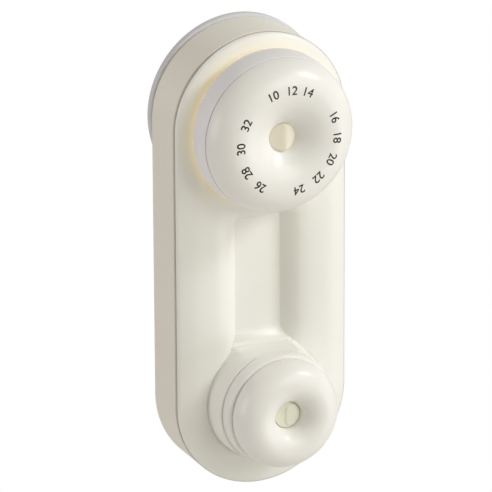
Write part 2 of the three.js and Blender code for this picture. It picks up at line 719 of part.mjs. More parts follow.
function terminalScrew(pole) {
  const x = poleX(pole);
  const z = TERMINAL_Z + 1;
  const from = TERMINAL_FROM + GAP;
  return cut(
    rod(x, z, TERMINAL_SCREW_R, from, TERMINAL_FROM + TERMINAL_SCREW - GAP),
    block(x, z, 3 * TERMINAL_SCREW_R, DRIVE_W, from - 1, from + DRIVE_SINK),
  );
}

const component = ({ x, z, w, h, t }) => block(x, z, w, h, ON_BOARD, ON_BOARD + t);

function capacitor() {
  const score = CAPACITOR_R / 10; // the rolled groove and the pressed top of its can
  const top = ON_BOARD + CAPACITOR_H;
  return turned([
    [0, ON_BOARD],
    [CAPACITOR_R, ON_BOARD],
    [CAPACITOR_R, top - score],
    [CAPACITOR_R - score, top],
    [CAPACITOR_R - 2 * score, top - score / 2],
    [0, top - score / 2],
  ]).translate([0, 0, BOARD_TOP - CAPACITOR_DROP]);
}

// A glass fuse in its two end caps, lying across the board.
function fuse() {
  const inner = FUSE_HALF - FUSE_CAP;
  const half = [[FUSE_R, inner], [FUSE_CAP_R, inner], [FUSE_CAP_R, FUSE_HALF], [0, FUSE_HALF]];
  const mirrored = half.map(([radius, along]) => [radius, -along]).reverse();
  return turned([...mirrored, ...half], SMALL)
    .rotate([0, 0, 90])
    .translate([0, -(ON_BOARD + FUSE_CAP_R), FUSE_Z]);
}

// The room sensor hangs from the board's lower edge, by the vents.
function roomSensor() {
  const legs = [-SENSOR_LEG_X, SENSOR_LEG_X].map((x) =>
    block(x, BOARD_BOTTOM - SENSOR_R, SENSOR_LEG, SENSOR_DROP + SENSOR_R, ON_BOARD, ON_BOARD + SENSOR_LEG),
  );
  const bead = new THREE.SphereGeometry(SENSOR_R, SMALL, 8);
  bead.translate(0, -(ON_BOARD + SENSOR_LEG * 2), BOARD_BOTTOM - SENSOR_DROP);
  return union(solid(bead), ...legs);
}

// ---------------------------------------------------------------- dial drive
const ENCODER_TOP = ON_BOARD + ENCODER_H;
const DIAL_NUT_FROM = DECK + GAP;
const CARRIER_BACK = SEAM + DIAL_BACK + CARRIER_SET;
const CARRIER_PLATE = CARRIER_BACK + CARRIER_T;
const CARRIER_OUT = DIAL_R - DIAL_TAPER - DIAL_RING_T - GAP;
const PIT = SEAM + DIAL_PIT_AT;
const HUB_TOP = PIT - CAP_T - GAP;
const SHAFT_END = HUB_TOP - 1.6;
const ENCODER_BORE = ENCODER_TOP - 3;

function dialEncoder() {
  const body = block(0, 0, ENCODER_W, ENCODER_W, ON_BOARD, ENCODER_TOP);
  const front = DIAL_NUT_FROM + WASHER_T + NUT_T + THREAD_OUT;
  const bore = disc(SHAFT_R + GAP, ENCODER_BORE, front + 1);
  return body.add(disc(BUSH_R, ENCODER_TOP - ROOT, front)).subtract(bore);
}

const washer = (outer, inner, from) => tube(outer, inner + GAP, from, from + WASHER_T);

const nut = (outer, inner, from) =>
  slab(polygon(outer, 6), from, from + NUT_T).subtract(disc(inner + GAP, from - 1, from + NUT_T + 1));

// What a flat takes off a round bore or shaft, on its upper side.
const flatOff = (z, from, to) => block(0, z + SHAFT_R, 4 * SHAFT_R, 2 * SHAFT_R, from, to);

function encoderShaft() {
  const shaft = disc(SHAFT_R, ENCODER_BORE + GAP, SHAFT_END);
  return shaft.subtract(flatOff(SHAFT_R - SHAFT_FLAT, CARRIER_PLATE - NUT_T, HUB_TOP));
}

function dialCarrier() {
  const ribLength = CARRIER_OUT - CARRIER_T;
  const rib = block(ribLength / 2, 0, ribLength, RIB_T, CARRIER_PLATE, CARRIER_PLATE + CARRIER_T + RIB_H);
  const ribs = Array.from({ length: RIB_COUNT }, (_, i) => rib.rotate([0, (360 * i) / RIB_COUNT, 0]));
  const bore = disc(SHAFT_R + GAP, CARRIER_PLATE - 1, SHAFT_END + GAP);
  return union(
    disc(CARRIER_HUB_R, CARRIER_PLATE, HUB_TOP),
    disc(CARRIER_OUT, CARRIER_PLATE, CARRIER_PLATE + CARRIER_T, FINE),
    tube(CARRIER_OUT, CARRIER_OUT - CARRIER_T, CARRIER_BACK, SEAM + DIAL_SPLIT, FINE),
    ...ribs,
  ).subtract(bore.subtract(flatOff(SHAFT_R - SHAFT_FLAT + GAP, CARRIER_PLATE - 2, HUB_TOP)));
}

function dialRing() {
  const back = SEAM + DIAL_BACK;
  const front = SEAM + DIAL_SPLIT;
  return turned(
    [
      [DIAL_R - DIAL_RING_T, back],
      [DIAL_R - DIAL_EDGE, back],
      [DIAL_R, back + DIAL_EDGE],
      [DIAL_R - DIAL_TAPER, front - DIAL_EDGE],
      [DIAL_R - DIAL_TAPER - DIAL_EDGE, front],
      [DIAL_R - DIAL_TAPER - DIAL_RING_T, front],
    ],
    FINE,
  );
}

// Points round a roll's section, as [radius, depth] pairs; 0 degrees is outwards, 90 to the front.
function roll(centreR, centreDepth, size, from, to, steps) {
  return Array.from({ length: steps + 1 }, (_, i) => {
    const angle = THREE.MathUtils.degToRad(from + ((to - from) * i) / steps);
    return [centreR + size * Math.cos(angle), centreDepth + size * Math.sin(angle)];
  });
}

// The angle at which a roll of this size stands at a depth, on its outer side.
const rollAngle = (depth, centre, size) => THREE.MathUtils.radToDeg(Math.asin((depth - centre) / size));

// A puffy cap: one roll all round, a dimple in the middle, and a wall of even thickness.
function dialCap() {
  const back = SEAM + DIAL_SPLIT + GAP;
  const centre = SEAM + DIAL_ROLL_AT;
  const inner = DIAL_ROLL - CAP_T;
  const flat = DIAL_PIT_R + 1;
  const last = rollAngle(back + DIAL_EDGE, centre, DIAL_ROLL);
  const outside = roll(DIAL_ROLL_R, centre, DIAL_ROLL, DIAL_DIMPLE, last, 8);
  const inside = roll(DIAL_ROLL_R, centre, inner, rollAngle(back, centre, inner), 160, 5);
  const foot = [outside[outside.length - 1][0] - DIAL_EDGE, back];
  const under = [[flat, PIT - CAP_T], [0, PIT - CAP_T]];
  const cap = turned([[0, PIT], [flat, PIT], ...outside, foot, ...inside, ...under], FINE);
  return cap.subtract(disc(DIAL_PIT_R + GAP, PIT - DIAL_PIT_SINK, PIT + 1));
}

function dialCentreCap() {
  const from = PIT - DIAL_PIT_SINK + GAP;
  const front = [[DIAL_PIT_R, PIT], [DIAL_PIT_R - 1, PIT + 0.7 * DIAL_PIT_DOME], [0, PIT + DIAL_PIT_DOME]];
  return turned([[0, from], [DIAL_PIT_R, from], ...front]);
}

// ---------------------------------------------------------------- mode knob, about its own axis
const SELECTOR_TOP = ON_BOARD + SELECTOR_H;
const KNOB_NUT_FROM = BOSS_FRONT + GAP;
const KNOB_RING_BACK = BOSS_FRONT + GAP;
const KNOB_RING_FRONT = KNOB_RING_BACK + KNOB_RING_H;
const KNOB_CENTRE = SEAM + KNOB_ROLL_AT;
const KNOB_PLATE = KNOB_NUT_FROM + WASHER_T + NUT_T + KNOB_SET;
const KNOB_CARRIER_R = KNOB_R - KNOB_TAPER - KNOB_RING_T - GAP;
const KNOB_HUB_TOP = KNOB_CENTRE - KNOB_HUB_DROP;
const THROAT_R = BUTTON_R + GAP;
const BUTTON_BACK = SEAM + BUTTON_FACE - BUTTON_T;
const TACT_TOP = ON_BOARD + TACT_H + TACT_PIN;

function selectorSwitch() {
  const body = disc(SELECTOR_R, ON_BOARD, SELECTOR_TOP, 8);
  const bush = disc(SELECTOR_BUSH_R, SELECTOR_TOP - ROOT, KNOB_NUT_FROM + WASHER_T + NUT_T + ROOT);
  const bore = disc(TUBE_R + GAP, SELECTOR_TOP - TACT_H, KNOB_PLATE);
  const chamber = disc(TUBE_R + 2 * GAP, BOARD_FRONT, SELECTOR_TOP - TACT_H + ROOT);
  return cut(body.add(bush), bore, chamber);
}

const selectorTube = () => tube(TUBE_R, STEM_R + GAP, SELECTOR_TOP - TACT_H + 1, KNOB_HUB_TOP - GAP);

function knobCarrier() {
  const hubR = TUBE_R + GAP;
  return union(
    disc(KNOB_CARRIER_R, KNOB_PLATE, KNOB_PLATE + KNOB_PLATE_T, FINE),
    tube(KNOB_CARRIER_R, KNOB_CARRIER_R - CARRIER_T, KNOB_RING_BACK + GAP, KNOB_PLATE + ROOT, FINE),
    disc(hubR + KNOB_SHELL, KNOB_PLATE, KNOB_HUB_TOP),
  ).subtract(disc(hubR, KNOB_PLATE - 1, KNOB_HUB_TOP + 1));
}

function knobRing() {
  const inner = KNOB_R - KNOB_TAPER - KNOB_RING_T;
  const front = KNOB_R - KNOB_TAPER;
  return turned(
    [
      [inner, KNOB_RING_BACK],
      [KNOB_R - KNOB_EDGE, KNOB_RING_BACK],
      [KNOB_R, KNOB_RING_BACK + KNOB_EDGE],
      [front, KNOB_RING_FRONT - 2 * KNOB_EDGE],
      [front - KNOB_EDGE, KNOB_RING_FRONT - KNOB_EDGE / 2],
      [front - 2 * KNOB_EDGE, KNOB_RING_FRONT],
      [inner, KNOB_RING_FRONT],
    ],
    FINE,
  );
}

function knobCap() {
  const inner = KNOB_ROLL - KNOB_SHELL;
  const foot = KNOB_RING_FRONT + GAP;
  const throatFoot = KNOB_HUB_TOP + GAP;
  const outerFoot = rollAngle(foot + KNOB_EDGE, KNOB_CENTRE, KNOB_ROLL);
  const outside = roll(KNOB_ROLL_R, KNOB_CENTRE, KNOB_ROLL, 180, outerFoot, 9);
  const inside = roll(KNOB_ROLL_R, KNOB_CENTRE, inner, rollAngle(foot, KNOB_CENTRE, inner), 170, 5);
  return turned(
    [
      [THROAT_R, throatFoot],
      ...outside.filter(([radius]) => radius > THROAT_R + GAP / 2),
      [outside[outside.length - 1][0] - KNOB_EDGE, foot],
      ...inside,
      [THROAT_R + KNOB_SHELL, throatFoot],
    ],
    FINE,
  );
}

function pushButton() {
  const face = SEAM + BUTTON_FACE;
  const end = TACT_TOP + GAP + BUTTON_TRAVEL;
  return turned(
    [
      [0, end],
      [STEM_R - KNOB_EDGE, end],
      [STEM_R, end + KNOB_EDGE],
      [STEM_R, BUTTON_BACK],
      [BUTTON_R, BUTTON_BACK],
      [BUTTON_R, face - BUTTON_DOME],
      [BUTTON_R * 0.85, face - BUTTON_DOME * 0.3],
      [BUTTON_R * 0.5, face - BUTTON_DOME * 0.08],
      [0, face],
    ],
  );
}

// The button's return spring, closed and flat at neither end.
function buttonSpring() {
  const from = KNOB_HUB_TOP + GAP + SPRING_WIRE;
  const to = BUTTON_BACK - GAP - SPRING_WIRE;
  const radius = STEM_R + 1 + SPRING_WIRE;
  class Coil extends THREE.Curve {
    getPoint(t, target = new THREE.Vector3()) {
      const angle = t * SPRING_TURNS * 2 * Math.PI;
      return target.set(radius * Math.cos(angle), -(from + (to - from) * t), radius * Math.sin(angle));
    }
  }
  const section = polygon(SPRING_WIRE, 6);
  return solid(new THREE.ExtrudeGeometry(section, { steps: 24, extrudePath: new Coil() }));
}

function tactSwitch() {
  const body = block(0, 0, TACT_W, TACT_W, ON_BOARD, ON_BOARD + TACT_H);
  return body.add(disc(TACT_PIN_R, ON_BOARD + TACT_H - ROOT, TACT_TOP, SMALL));
}

// ---------------------------------------------------------------- assembly
const thermostat = new THREE.Group();
const dialAxis = new THREE.Group();
const knobAxis = new THREE.Group();
knobAxis.position.z = -AXIS_DROP;
thermostat.add(dialAxis, knobAxis);

function place(group, name, body, material) {
  const mesh = new THREE.Mesh(geometryOf(body), material);
  mesh.name = name;
  group.add(mesh);
}

place(thermostat, "wall_plate", wallPlate(), PLATE_GREY);
place(thermostat, "foot_pad", footPad(), RUBBER);
place(thermostat, "rear_case", rearCase(), CREAM);
place(thermostat, "front_cover", frontCover(), CREAM);
place(thermostat, "centre_insert", centreInsert(), CREAM);
CASE_SCREWS.forEach(([x, z], i) => place(thermostat, `case_screw_${i + 1}`, caseScrew(x, z), STEEL));

place(thermostat, "main_board", mainBoard(), BOARD_GREEN);
BOARD_SCREWS.forEach(([x, z], i) => place(thermostat, `board_screw_${i + 1}`, boardScrew(x, z), STEEL));
place(thermostat, "terminal_block", terminalBlock(), TERMINAL_GREEN);
for (let pole = 0; pole < TERMINAL_POLES; pole += 1) {
  place(thermostat, `terminal_screw_${pole + 1}`, terminalScrew(pole), STEEL);
}
place(thermostat, "relay", component(RELAY), RELAY_BLUE);
place(thermostat, "power_module", component(POWER_MODULE), BLACK);
place(thermostat, "controller_chip", component(CHIP), BLACK);
place(thermostat, "capacitor", capacitor(), BLACK);
place(thermostat, "fuse", fuse(), GLASS);
place(thermostat, "room_sensor", roomSensor(), BLACK);

place(dialAxis, "led_board", ledBoard(), WHITE);
LED_SCREWS.forEach(([x, z], i) => place(dialAxis, `led_screw_${i + 1}`, ledScrew(x, z), STEEL));
place(dialAxis, "glow_ring", glowRing(), AMBER);
place(dialAxis, "dial_encoder", dialEncoder(), BLACK);
place(dialAxis, "encoder_washer", washer(WASHER_R, BUSH_R, DIAL_NUT_FROM), STEEL);
place(dialAxis, "encoder_nut", nut(NUT_R, BUSH_R, DIAL_NUT_FROM + WASHER_T + GAP), BRASS);
place(dialAxis, "encoder_shaft", encoderShaft(), STEEL);
place(dialAxis, "dial_carrier", dialCarrier(), WHITE);
place(dialAxis, "dial_ring", dialRing(), RING_GREY);
place(dialAxis, "dial_cap", dialCap(), CREAM);
place(dialAxis, "dial_centre_cap", dialCentreCap(), CREAM);

place(knobAxis, "selector_switch", selectorSwitch(), BLACK);
place(knobAxis, "selector_washer", washer(SELECTOR_NUT_R + 1, SELECTOR_BUSH_R, KNOB_NUT_FROM), STEEL);
place(
  knobAxis,
  "selector_nut",
  nut(SELECTOR_NUT_R, SELECTOR_BUSH_R, KNOB_NUT_FROM + WASHER_T + GAP),
  BRASS,
);
place(knobAxis, "selector_tube", selectorTube(), STEEL);
place(knobAxis, "knob_carrier", knobCarrier(), WHITE);
place(knobAxis, "knob_ring", knobRing(), CREAM);
place(knobAxis, "knob_cap", knobCap(), CREAM);
place(knobAxis, "push_button", pushButton(), BUTTON_CREAM);
place(knobAxis, "button_spring", buttonSpring(), STEEL);
place(knobAxis, "tact_switch", tactSwitch(), BLACK);

export default thermostat;
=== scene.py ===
# %% [markdown]
# # A wall thermostat with a puffy dial and a small knob
# The real object is an oblong cream plastic unit on a round grey wall plate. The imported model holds
# every piece at its real size. This file gives the pieces that are seen a smooth skin, a finish and
# light, and leaves the working parts inside as they are.

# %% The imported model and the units
import bmesh
import bpy
import json
import math
import numpy as np
from mathutils import Matrix, Vector


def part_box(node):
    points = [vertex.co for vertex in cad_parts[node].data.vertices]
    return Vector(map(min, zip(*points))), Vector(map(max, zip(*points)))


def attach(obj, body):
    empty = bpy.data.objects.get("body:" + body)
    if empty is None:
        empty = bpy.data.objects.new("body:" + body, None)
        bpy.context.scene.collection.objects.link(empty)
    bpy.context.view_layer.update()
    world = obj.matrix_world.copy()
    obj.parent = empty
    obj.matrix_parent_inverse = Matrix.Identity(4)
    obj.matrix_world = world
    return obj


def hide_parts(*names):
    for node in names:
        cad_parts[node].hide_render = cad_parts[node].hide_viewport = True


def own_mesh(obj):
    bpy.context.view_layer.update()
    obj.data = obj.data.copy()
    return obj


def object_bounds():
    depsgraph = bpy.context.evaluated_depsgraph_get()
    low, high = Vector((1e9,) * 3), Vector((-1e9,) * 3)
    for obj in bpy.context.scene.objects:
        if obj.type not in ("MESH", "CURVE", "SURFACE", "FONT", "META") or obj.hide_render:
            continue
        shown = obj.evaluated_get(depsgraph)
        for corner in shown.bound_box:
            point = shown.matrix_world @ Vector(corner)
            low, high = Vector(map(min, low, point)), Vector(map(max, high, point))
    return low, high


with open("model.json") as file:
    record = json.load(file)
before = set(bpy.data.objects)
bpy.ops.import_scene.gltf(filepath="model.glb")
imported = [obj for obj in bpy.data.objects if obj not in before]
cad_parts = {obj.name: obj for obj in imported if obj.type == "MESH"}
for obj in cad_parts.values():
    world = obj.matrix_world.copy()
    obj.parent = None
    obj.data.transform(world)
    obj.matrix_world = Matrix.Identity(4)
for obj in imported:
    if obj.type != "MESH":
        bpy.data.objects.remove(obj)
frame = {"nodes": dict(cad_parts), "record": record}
cad_bounds = [list(corner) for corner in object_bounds()]
MM = 0.001


def span(node):
    """A node's size and place in millimetres: radius, centre height, back depth and front depth."""
    low, high = (Vector(corner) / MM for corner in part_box(node))
    return (high.x - low.x) / 2, (high.z + low.z) / 2, -high.y, -low.y


# %% [markdown]
# ## Colours and shader nodes
# Colours are written as sRGB hex values, as a paint chart gives them, and one function turns them to
# the linear values that the shaders need. One more function adds a node with its settings and links.

# %% Colour and node helpers
def linear(hex_colour):
    """An sRGB hex value as linear red, green and blue, with a full alpha."""
    channels = [int(hex_colour[i:i + 2], 16) / 255 for i in (1, 3, 5)]
    return tuple(c / 12.92 if c <= 0.04045 else ((c + 0.055) / 1.055) ** 2.4 for c in channels) + (1.0,)


def add_node(tree, kind, inputs=None, **settings):
    """A shader node. An input is a plain value, or another node's output socket to link."""
    node = tree.nodes.new(kind)
    for name, value in settings.items():
        setattr(node, name, value)
    for name, value in (inputs or {}).items():
        if isinstance(value, bpy.types.NodeSocket):
            tree.links.new(value, node.inputs[name])
        else:
            node.inputs[name].default_value = value
    return node


def new_material(name):
    material = bpy.data.materials.new(name)
    material.use_nodes = True
    material.node_tree.nodes.clear()
    return material, material.node_tree


print("a mid grey of #808080 is", round(linear("#808080")[0], 3), "in linear light")


# %% [markdown]
# ## Moulded plastic
# The casing and the knobs are ABS, injection moulded in a tool with a very fine satin texture. The
# eye sees a warm cream with soft, broad highlights, a faint cloudiness where the melt cooled at
# different speeds, and a grain that only breaks up the highlight's edge. A tool's grain is about
# 0.1 mm, too fine to show here, so it is drawn at 0.5 mm. A picture of a texture would need its own
# mapping on every curve. Noise on Object coordinates needs none, and stays with a piece that turns.

# %% The shader for plastic
GRAIN_MM = 0.5
CLOUD_MM = 40
SMOOTHER, ROUGHER = 0.04, 0.05  # how far the grain moves the roughness


def moulded_plastic(name, colour, shade, roughness, grain=0.02, ior=1.5):
    """Colour and shade are those of the cloudy patches, and grain is the height of the texture in mm."""
    material, tree = new_material(name)
    place = add_node(tree, "ShaderNodeTexCoord").outputs["Object"]
    cloud = add_node(tree, "ShaderNodeTexNoise",
                     {"Vector": place, "Scale": 1 / (CLOUD_MM * MM), "Detail": 2.0})
    tint = add_node(tree, "ShaderNodeMix",
                    {"Factor": cloud.outputs["Fac"], "A": linear(colour), "B": linear(shade)},
                    data_type="RGBA")
    fine = add_node(tree, "ShaderNodeTexNoise",
                    {"Vector": place, "Scale": 1 / (GRAIN_MM * MM), "Detail": 3.0, "Roughness": 0.6})
    rough = add_node(tree, "ShaderNodeMapRange",
                     {"Value": fine.outputs["Fac"],
                      "To Min": roughness - SMOOTHER, "To Max": roughness + ROUGHER})
    bump = add_node(tree, "ShaderNodeBump",
                    {"Height": fine.outputs["Fac"], "Strength": 0.25, "Distance": grain * MM})
    shader = add_node(tree, "ShaderNodeBsdfPrincipled", {
        "Base Color": tint.outputs["Result"], "Roughness": rough.outputs["Result"],
        "Normal": bump.outputs["Normal"], "IOR": ior})
    add_node(tree, "ShaderNodeOutputMaterial", {"Surface": shader.outputs["BSDF"]})
    return material


print(f"grain {GRAIN_MM} mm, clouds {CLOUD_MM} mm")

# %% [markdown]
# Each plastic has the colour of its granulate and a roughness. The casing is satin. The caps and the
# button come from polished tools, so they are glossier. The ring, the plate and the hidden carriers
# are duller, the rubber is the dullest, and the ink is a thin matt film. Each could be a whole shader
# of its own, but they only differ in these values, so one function makes them all.

# %% The plastics
COVER_ABS = moulded_plastic("satin_cream_abs", "#EFEFEA", "#ECECE6", 0.38)
CASE_ABS = moulded_plastic("case_cream_abs", "#ECE8E0", "#E9E5DC", 0.42)
CAP_ABS = moulded_plastic("glossy_cream_abs", "#EFEEEB", "#EDECE8", 0.3, ior=1.42)
DISC_ABS = moulded_plastic("warm_beige_abs", "#EAE3D1", "#E6DECB", 0.34)
BUTTON_ABS = moulded_plastic("pale_green_cream_abs", "#EBEBDA", "#E7E8D5", 0.3)
RING_ABS = moulded_plastic("lilac_white_abs", "#F0EEF2", "#ECEAEF", 0.42)
PLATE_PC = moulded_plastic("neutral_grey_polycarbonate", "#D4D4D8", "#CFCFD3", 0.5)
CARRIER_ABS = moulded_plastic("white_abs", "#E9E9E6", "#E3E3E0", 0.5)
BLACK_NYLON = moulded_plastic("black_nylon", "#1C1C1E", "#232325", 0.5)
PAD_RUBBER = moulded_plastic("dark_rubber", "#393939", "#303030", 0.8, grain=0.05)
RELAY_PLASTIC = moulded_plastic("blue_relay_case", "#24538C", "#1F4A80", 0.35)
TERMINAL_PLASTIC = moulded_plastic("green_terminal_nylon", "#3D8A52", "#357D49", 0.45)
BOARD_RESIST = moulded_plastic("green_solder_resist", "#1F5A38", "#1B5233", 0.35)
NUMBER_INK = moulded_plastic("black_pad_print_ink", "#15130F", "#1B1813", 0.45)
print(len(bpy.data.materials), "materials so far")


# %% [markdown]
# ## Metal, glass and the light guide
# The screws, washers and shafts are zinc plated steel, the nuts plain brass. Both have a fine noise in
# their roughness, as small parts have that are plated in a barrel, where they rub on each other. The
# fuse is a clear glass tube. The light guide is a milky acrylic ring, lit from behind. Lamps under a
# see-through ring would be nearer to the real thing, but noisy, so the ring itself gives the light.

# %% Materials for metal, glass and light
PLATING_MM = 0.8
PLATING_SMOOTHER, PLATING_ROUGHER = 0.08, 0.1
GLOW_STRENGTH = 0.95


def plated_metal(name, colour, roughness):
    material, tree = new_material(name)
    place = add_node(tree, "ShaderNodeTexCoord").outputs["Object"]
    fine = add_node(tree, "ShaderNodeTexNoise",
                    {"Vector": place, "Scale": 1 / (PLATING_MM * MM), "Detail": 3.0})
    rough = add_node(tree, "ShaderNodeMapRange",
                     {"Value": fine.outputs["Fac"],
                      "To Min": roughness - PLATING_SMOOTHER, "To Max": roughness + PLATING_ROUGHER})
    shader = add_node(tree, "ShaderNodeBsdfPrincipled", {
        "Base Color": linear(colour), "Metallic": 1.0, "Roughness": rough.outputs["Result"]})
    add_node(tree, "ShaderNodeOutputMaterial", {"Surface": shader.outputs["BSDF"]})
    return material


def glass_tube(name, colour):
    material, tree = new_material(name)
    shader = add_node(tree, "ShaderNodeBsdfPrincipled", {
        "Base Color": linear(colour), "Roughness": 0.05, "IOR": 1.52, "Transmission Weight": 0.8})
    add_node(tree, "ShaderNodeOutputMaterial", {"Surface": shader.outputs["BSDF"]})
    return material


def light_guide(name, colour, light):
    material, tree = new_material(name)
    shader = add_node(tree, "ShaderNodeBsdfPrincipled", {
        "Base Color": linear(colour), "Roughness": 0.35,
        "Emission Color": linear(light), "Emission Strength": GLOW_STRENGTH})
    add_node(tree, "ShaderNodeOutputMaterial", {"Surface": shader.outputs["BSDF"]})
    return material


ZINC_STEEL = plated_metal("zinc_plated_steel", "#B9BCBF", 0.35)
PLAIN_BRASS = plated_metal("plain_brass", "#C9A456", 0.3)
FUSE_GLASS = glass_tube("fuse_glass", "#DFE6E8")
AMBER_ACRYLIC = light_guide("warm_light_guide", "#FFF6E0", "#FFE092")
print("the light guide glows at", GLOW_STRENGTH)

# %% [markdown]
# ## Finishes of the working parts
# The boards, the switches and their nuts are only glimpsed, through the vents and the cable hole. They
# could be modelled again with every pin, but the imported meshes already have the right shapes, so these
# pieces keep them. Each takes the finish of its record slot.

# %% Finishes by slot
SLOT_FINISH = {
    "plate_grey": PLATE_PC, "rubber": PAD_RUBBER, "case_cream": CASE_ABS, "cover_cream": COVER_ABS,
    "cap_cream": CAP_ABS, "button_cream": BUTTON_ABS, "ring_grey": RING_ABS, "glow_amber": AMBER_ACRYLIC,
    "white_plastic": CARRIER_ABS, "component_black": BLACK_NYLON, "board_green": BOARD_RESIST,
    "relay_blue": RELAY_PLASTIC, "terminal_green": TERMINAL_PLASTIC, "fuse_glass": FUSE_GLASS,
    "steel": ZINC_STEEL, "brass": PLAIN_BRASS,
}
slot_of = {part["node"]: part["material_slot"] for part in frame["record"]["subparts"]}
for node, obj in frame["nodes"].items():
    finish = SLOT_FINISH[slot_of[node]]
    for material_slot in obj.material_slots:
        material_slot.material = finish
print(len(slot_of), "nodes,", len(SLOT_FINISH), "finishes")


# %% [markdown]
# ## The camera
# A product shot like this is taken from far away with a long lens, so that upright edges stay
# parallel. The camera stands to the left of the wall's normal and looks a little down. A constraint
# could make it track an empty, but it would lose the small roll, so its three directions are worked
# out and written as one matrix. It aims a little beside the unit's middle, to place it in the frame.

# %% Camera
CAMERA_AZIMUTH = math.radians(-25.6)
CAMERA_ELEVATION = math.radians(20.5)
CAMERA_ROLL = math.radians(-0.345)
CAMERA_DISTANCE = 2.426
CAMERA_LENS = 382.9
SIDEWAYS_AIM = 7.28 * MM
UPWARD_AIM = -3.76 * MM
BODY_MIDDLE = Vector((0, 4.1 * MM, -66.75 * MM))


def add_camera():
    """The camera's place, then its right, up and back directions, first rolled and then aimed."""
    across, up_tilt = math.cos(CAMERA_ELEVATION), math.sin(CAMERA_ELEVATION)
    back = Vector((math.sin(CAMERA_AZIMUTH) * across, -math.cos(CAMERA_AZIMUTH) * across, up_tilt))
    place = BODY_MIDDLE + back * CAMERA_DISTANCE
    right = Vector((0, 0, 1)).cross(back).normalized()
    up = back.cross(right)
    c, s = math.cos(CAMERA_ROLL), math.sin(CAMERA_ROLL)
    right, up = c * right + s * up, c * up - s * right
    aim = BODY_MIDDLE + right * SIDEWAYS_AIM + up * UPWARD_AIM
    back = (place - aim).normalized()
    right = up.cross(back).normalized()
    up = back.cross(right)
    data = bpy.data.cameras.new("camera")
    data.lens = CAMERA_LENS
    data.sensor_width = 36
    data.clip_end = 20
    camera = bpy.data.objects.new("camera", data)
    turn = Matrix((right, up, back)).transposed().to_4x4()
    camera.matrix_world = Matrix.Translation(place) @ turn
    bpy.context.scene.collection.objects.link(camera)
    bpy.context.scene.camera = camera


add_camera()
bpy.context.scene.view_settings.view_transform = "Standard"
print(f"camera {CAMERA_DISTANCE / MM:.0f} mm away, with a lens of {CAMERA_LENS:.0f} mm")

# %% [markdown]
# ## Light and background
# The unit stands before pure white, in soft light. A white wall behind it would throw so much light
# back that every shade on the cream plastic would wash out. So Light Path gives white only to what
# the camera, mirrors and glass see, and the plastic gets a weaker, warm fill.

# %% World
FILL_STRENGTH = 0.388


def add_world():
    """White for camera, glossy and transmission rays, and the fill for all others."""
    world = bpy.data.worlds.new("studio")
    world.use_nodes = True
    tree = world.node_tree
    tree.nodes.clear()
    rays = add_node(tree, "ShaderNodeLightPath")
    seen = rays.outputs["Is Camera Ray"]
    for kind in ("Is Glossy Ray", "Is Transmission Ray"):
        either = add_node(tree, "ShaderNodeMath", {0: seen, 1: rays.outputs[kind]}, operation="MAXIMUM")
        seen = either.outputs[0]
    fill = add_node(tree, "ShaderNodeBackground", {"Color": linear("#FFFBE8"), "Strength": FILL_STRENGTH})
    white = add_node(tree, "ShaderNodeBackground", {"Color": (1, 1, 1, 1), "Strength": 1.0})
    mixed = add_node(tree, "ShaderNodeMixShader", {0: seen, 1: fill.outputs[0], 2: white.outputs[0]})
    add_node(tree, "ShaderNodeOutputWorld", {"Surface": mixed.outputs[0]})
    bpy.context.scene.world = world


add_world()
print("world fill", FILL_STRENGTH)

# %% [markdown]
# The floor is a pale matt sheet, well below the unit, which hangs on its wall. It is white to the
# camera and throws a little light up at the unit's lower side.

# %% Floor
FLOOR_DROP = 0.5
FLOOR_HALF = 6.0


def add_floor():
    material, tree = new_material("pale_floor")
    rays = add_node(tree, "ShaderNodeLightPath")
    plain = add_node(tree, "ShaderNodeBsdfDiffuse", {"Color": linear("#F2F1EE")})
    white = add_node(tree, "ShaderNodeEmission", {"Color": (1, 1, 1, 1), "Strength": 1.0})
    mixed = add_node(tree, "ShaderNodeMixShader", {0: rays.outputs["Is Camera Ray"],
                                                   1: plain.outputs[0], 2: white.outputs[0]})
    add_node(tree, "ShaderNodeOutputMaterial", {"Surface": mixed.outputs[0]})
    mesh = bpy.data.meshes.new("floor")
    corners = [(-FLOOR_HALF, -FLOOR_HALF, 0), (FLOOR_HALF, -FLOOR_HALF, 0),
               (FLOOR_HALF, FLOOR_HALF, 0), (-FLOOR_HALF, FLOOR_HALF, 0)]
    mesh.from_pydata(corners, [], [(0, 1, 2, 3)])
    mesh.materials.append(material)
    floor = bpy.data.objects.new("floor", mesh)
    floor.location.z = cad_bounds[0][2] - FLOOR_DROP
    bpy.context.scene.collection.objects.link(floor)
    return floor


floor = add_floor()
print(f"floor {-floor.location.z:.3f} m below the dial's axis")

# %% [markdown]
# The key light is a softbox up on the right, rather flat to the cover, so that the dial and the knob
# throw soft shadows down to the left and every roll of plastic shades from left to right. Three large,
# weak lamps stand for what cards in front, on the left and low down would bounce back. Real cards
# would do it too, but lamps are easier to weigh against each other.

# %% Lamps
LAMP_DISTANCE = 1.6
# name, degrees to the right of the wall's normal, degrees up, size in metres, watts, colour
LAMPS = [
    ("key", 58, 36, 0.34, 8.2, "#FDFDFF"),
    ("front_bounce", 24, 24, 0.8, 7.2, "#FFFDFA"),
    ("left_bounce", -95, 8, 0.8, 6.1, "#F8F3FF"),
    ("low_bounce", 50, -20, 0.8, 5.8, "#F8F7FF"),
]


def add_softbox(name, azimuth, elevation, size, watts, colour):
    a, e = math.radians(azimuth), math.radians(elevation)
    towards = Vector((math.sin(a) * math.cos(e), -math.cos(a) * math.cos(e), math.sin(e)))
    data = bpy.data.lights.new(name, "AREA")
    data.shape = "SQUARE"
    data.size = size
    data.energy = watts
    data.color = linear(colour)[:3]
    lamp = bpy.data.objects.new(name, data)
    lamp.location = BODY_MIDDLE + towards * LAMP_DISTANCE
    lamp.rotation_euler = towards.to_track_quat("Z", "Y").to_euler()
    bpy.context.scene.collection.objects.link(lamp)


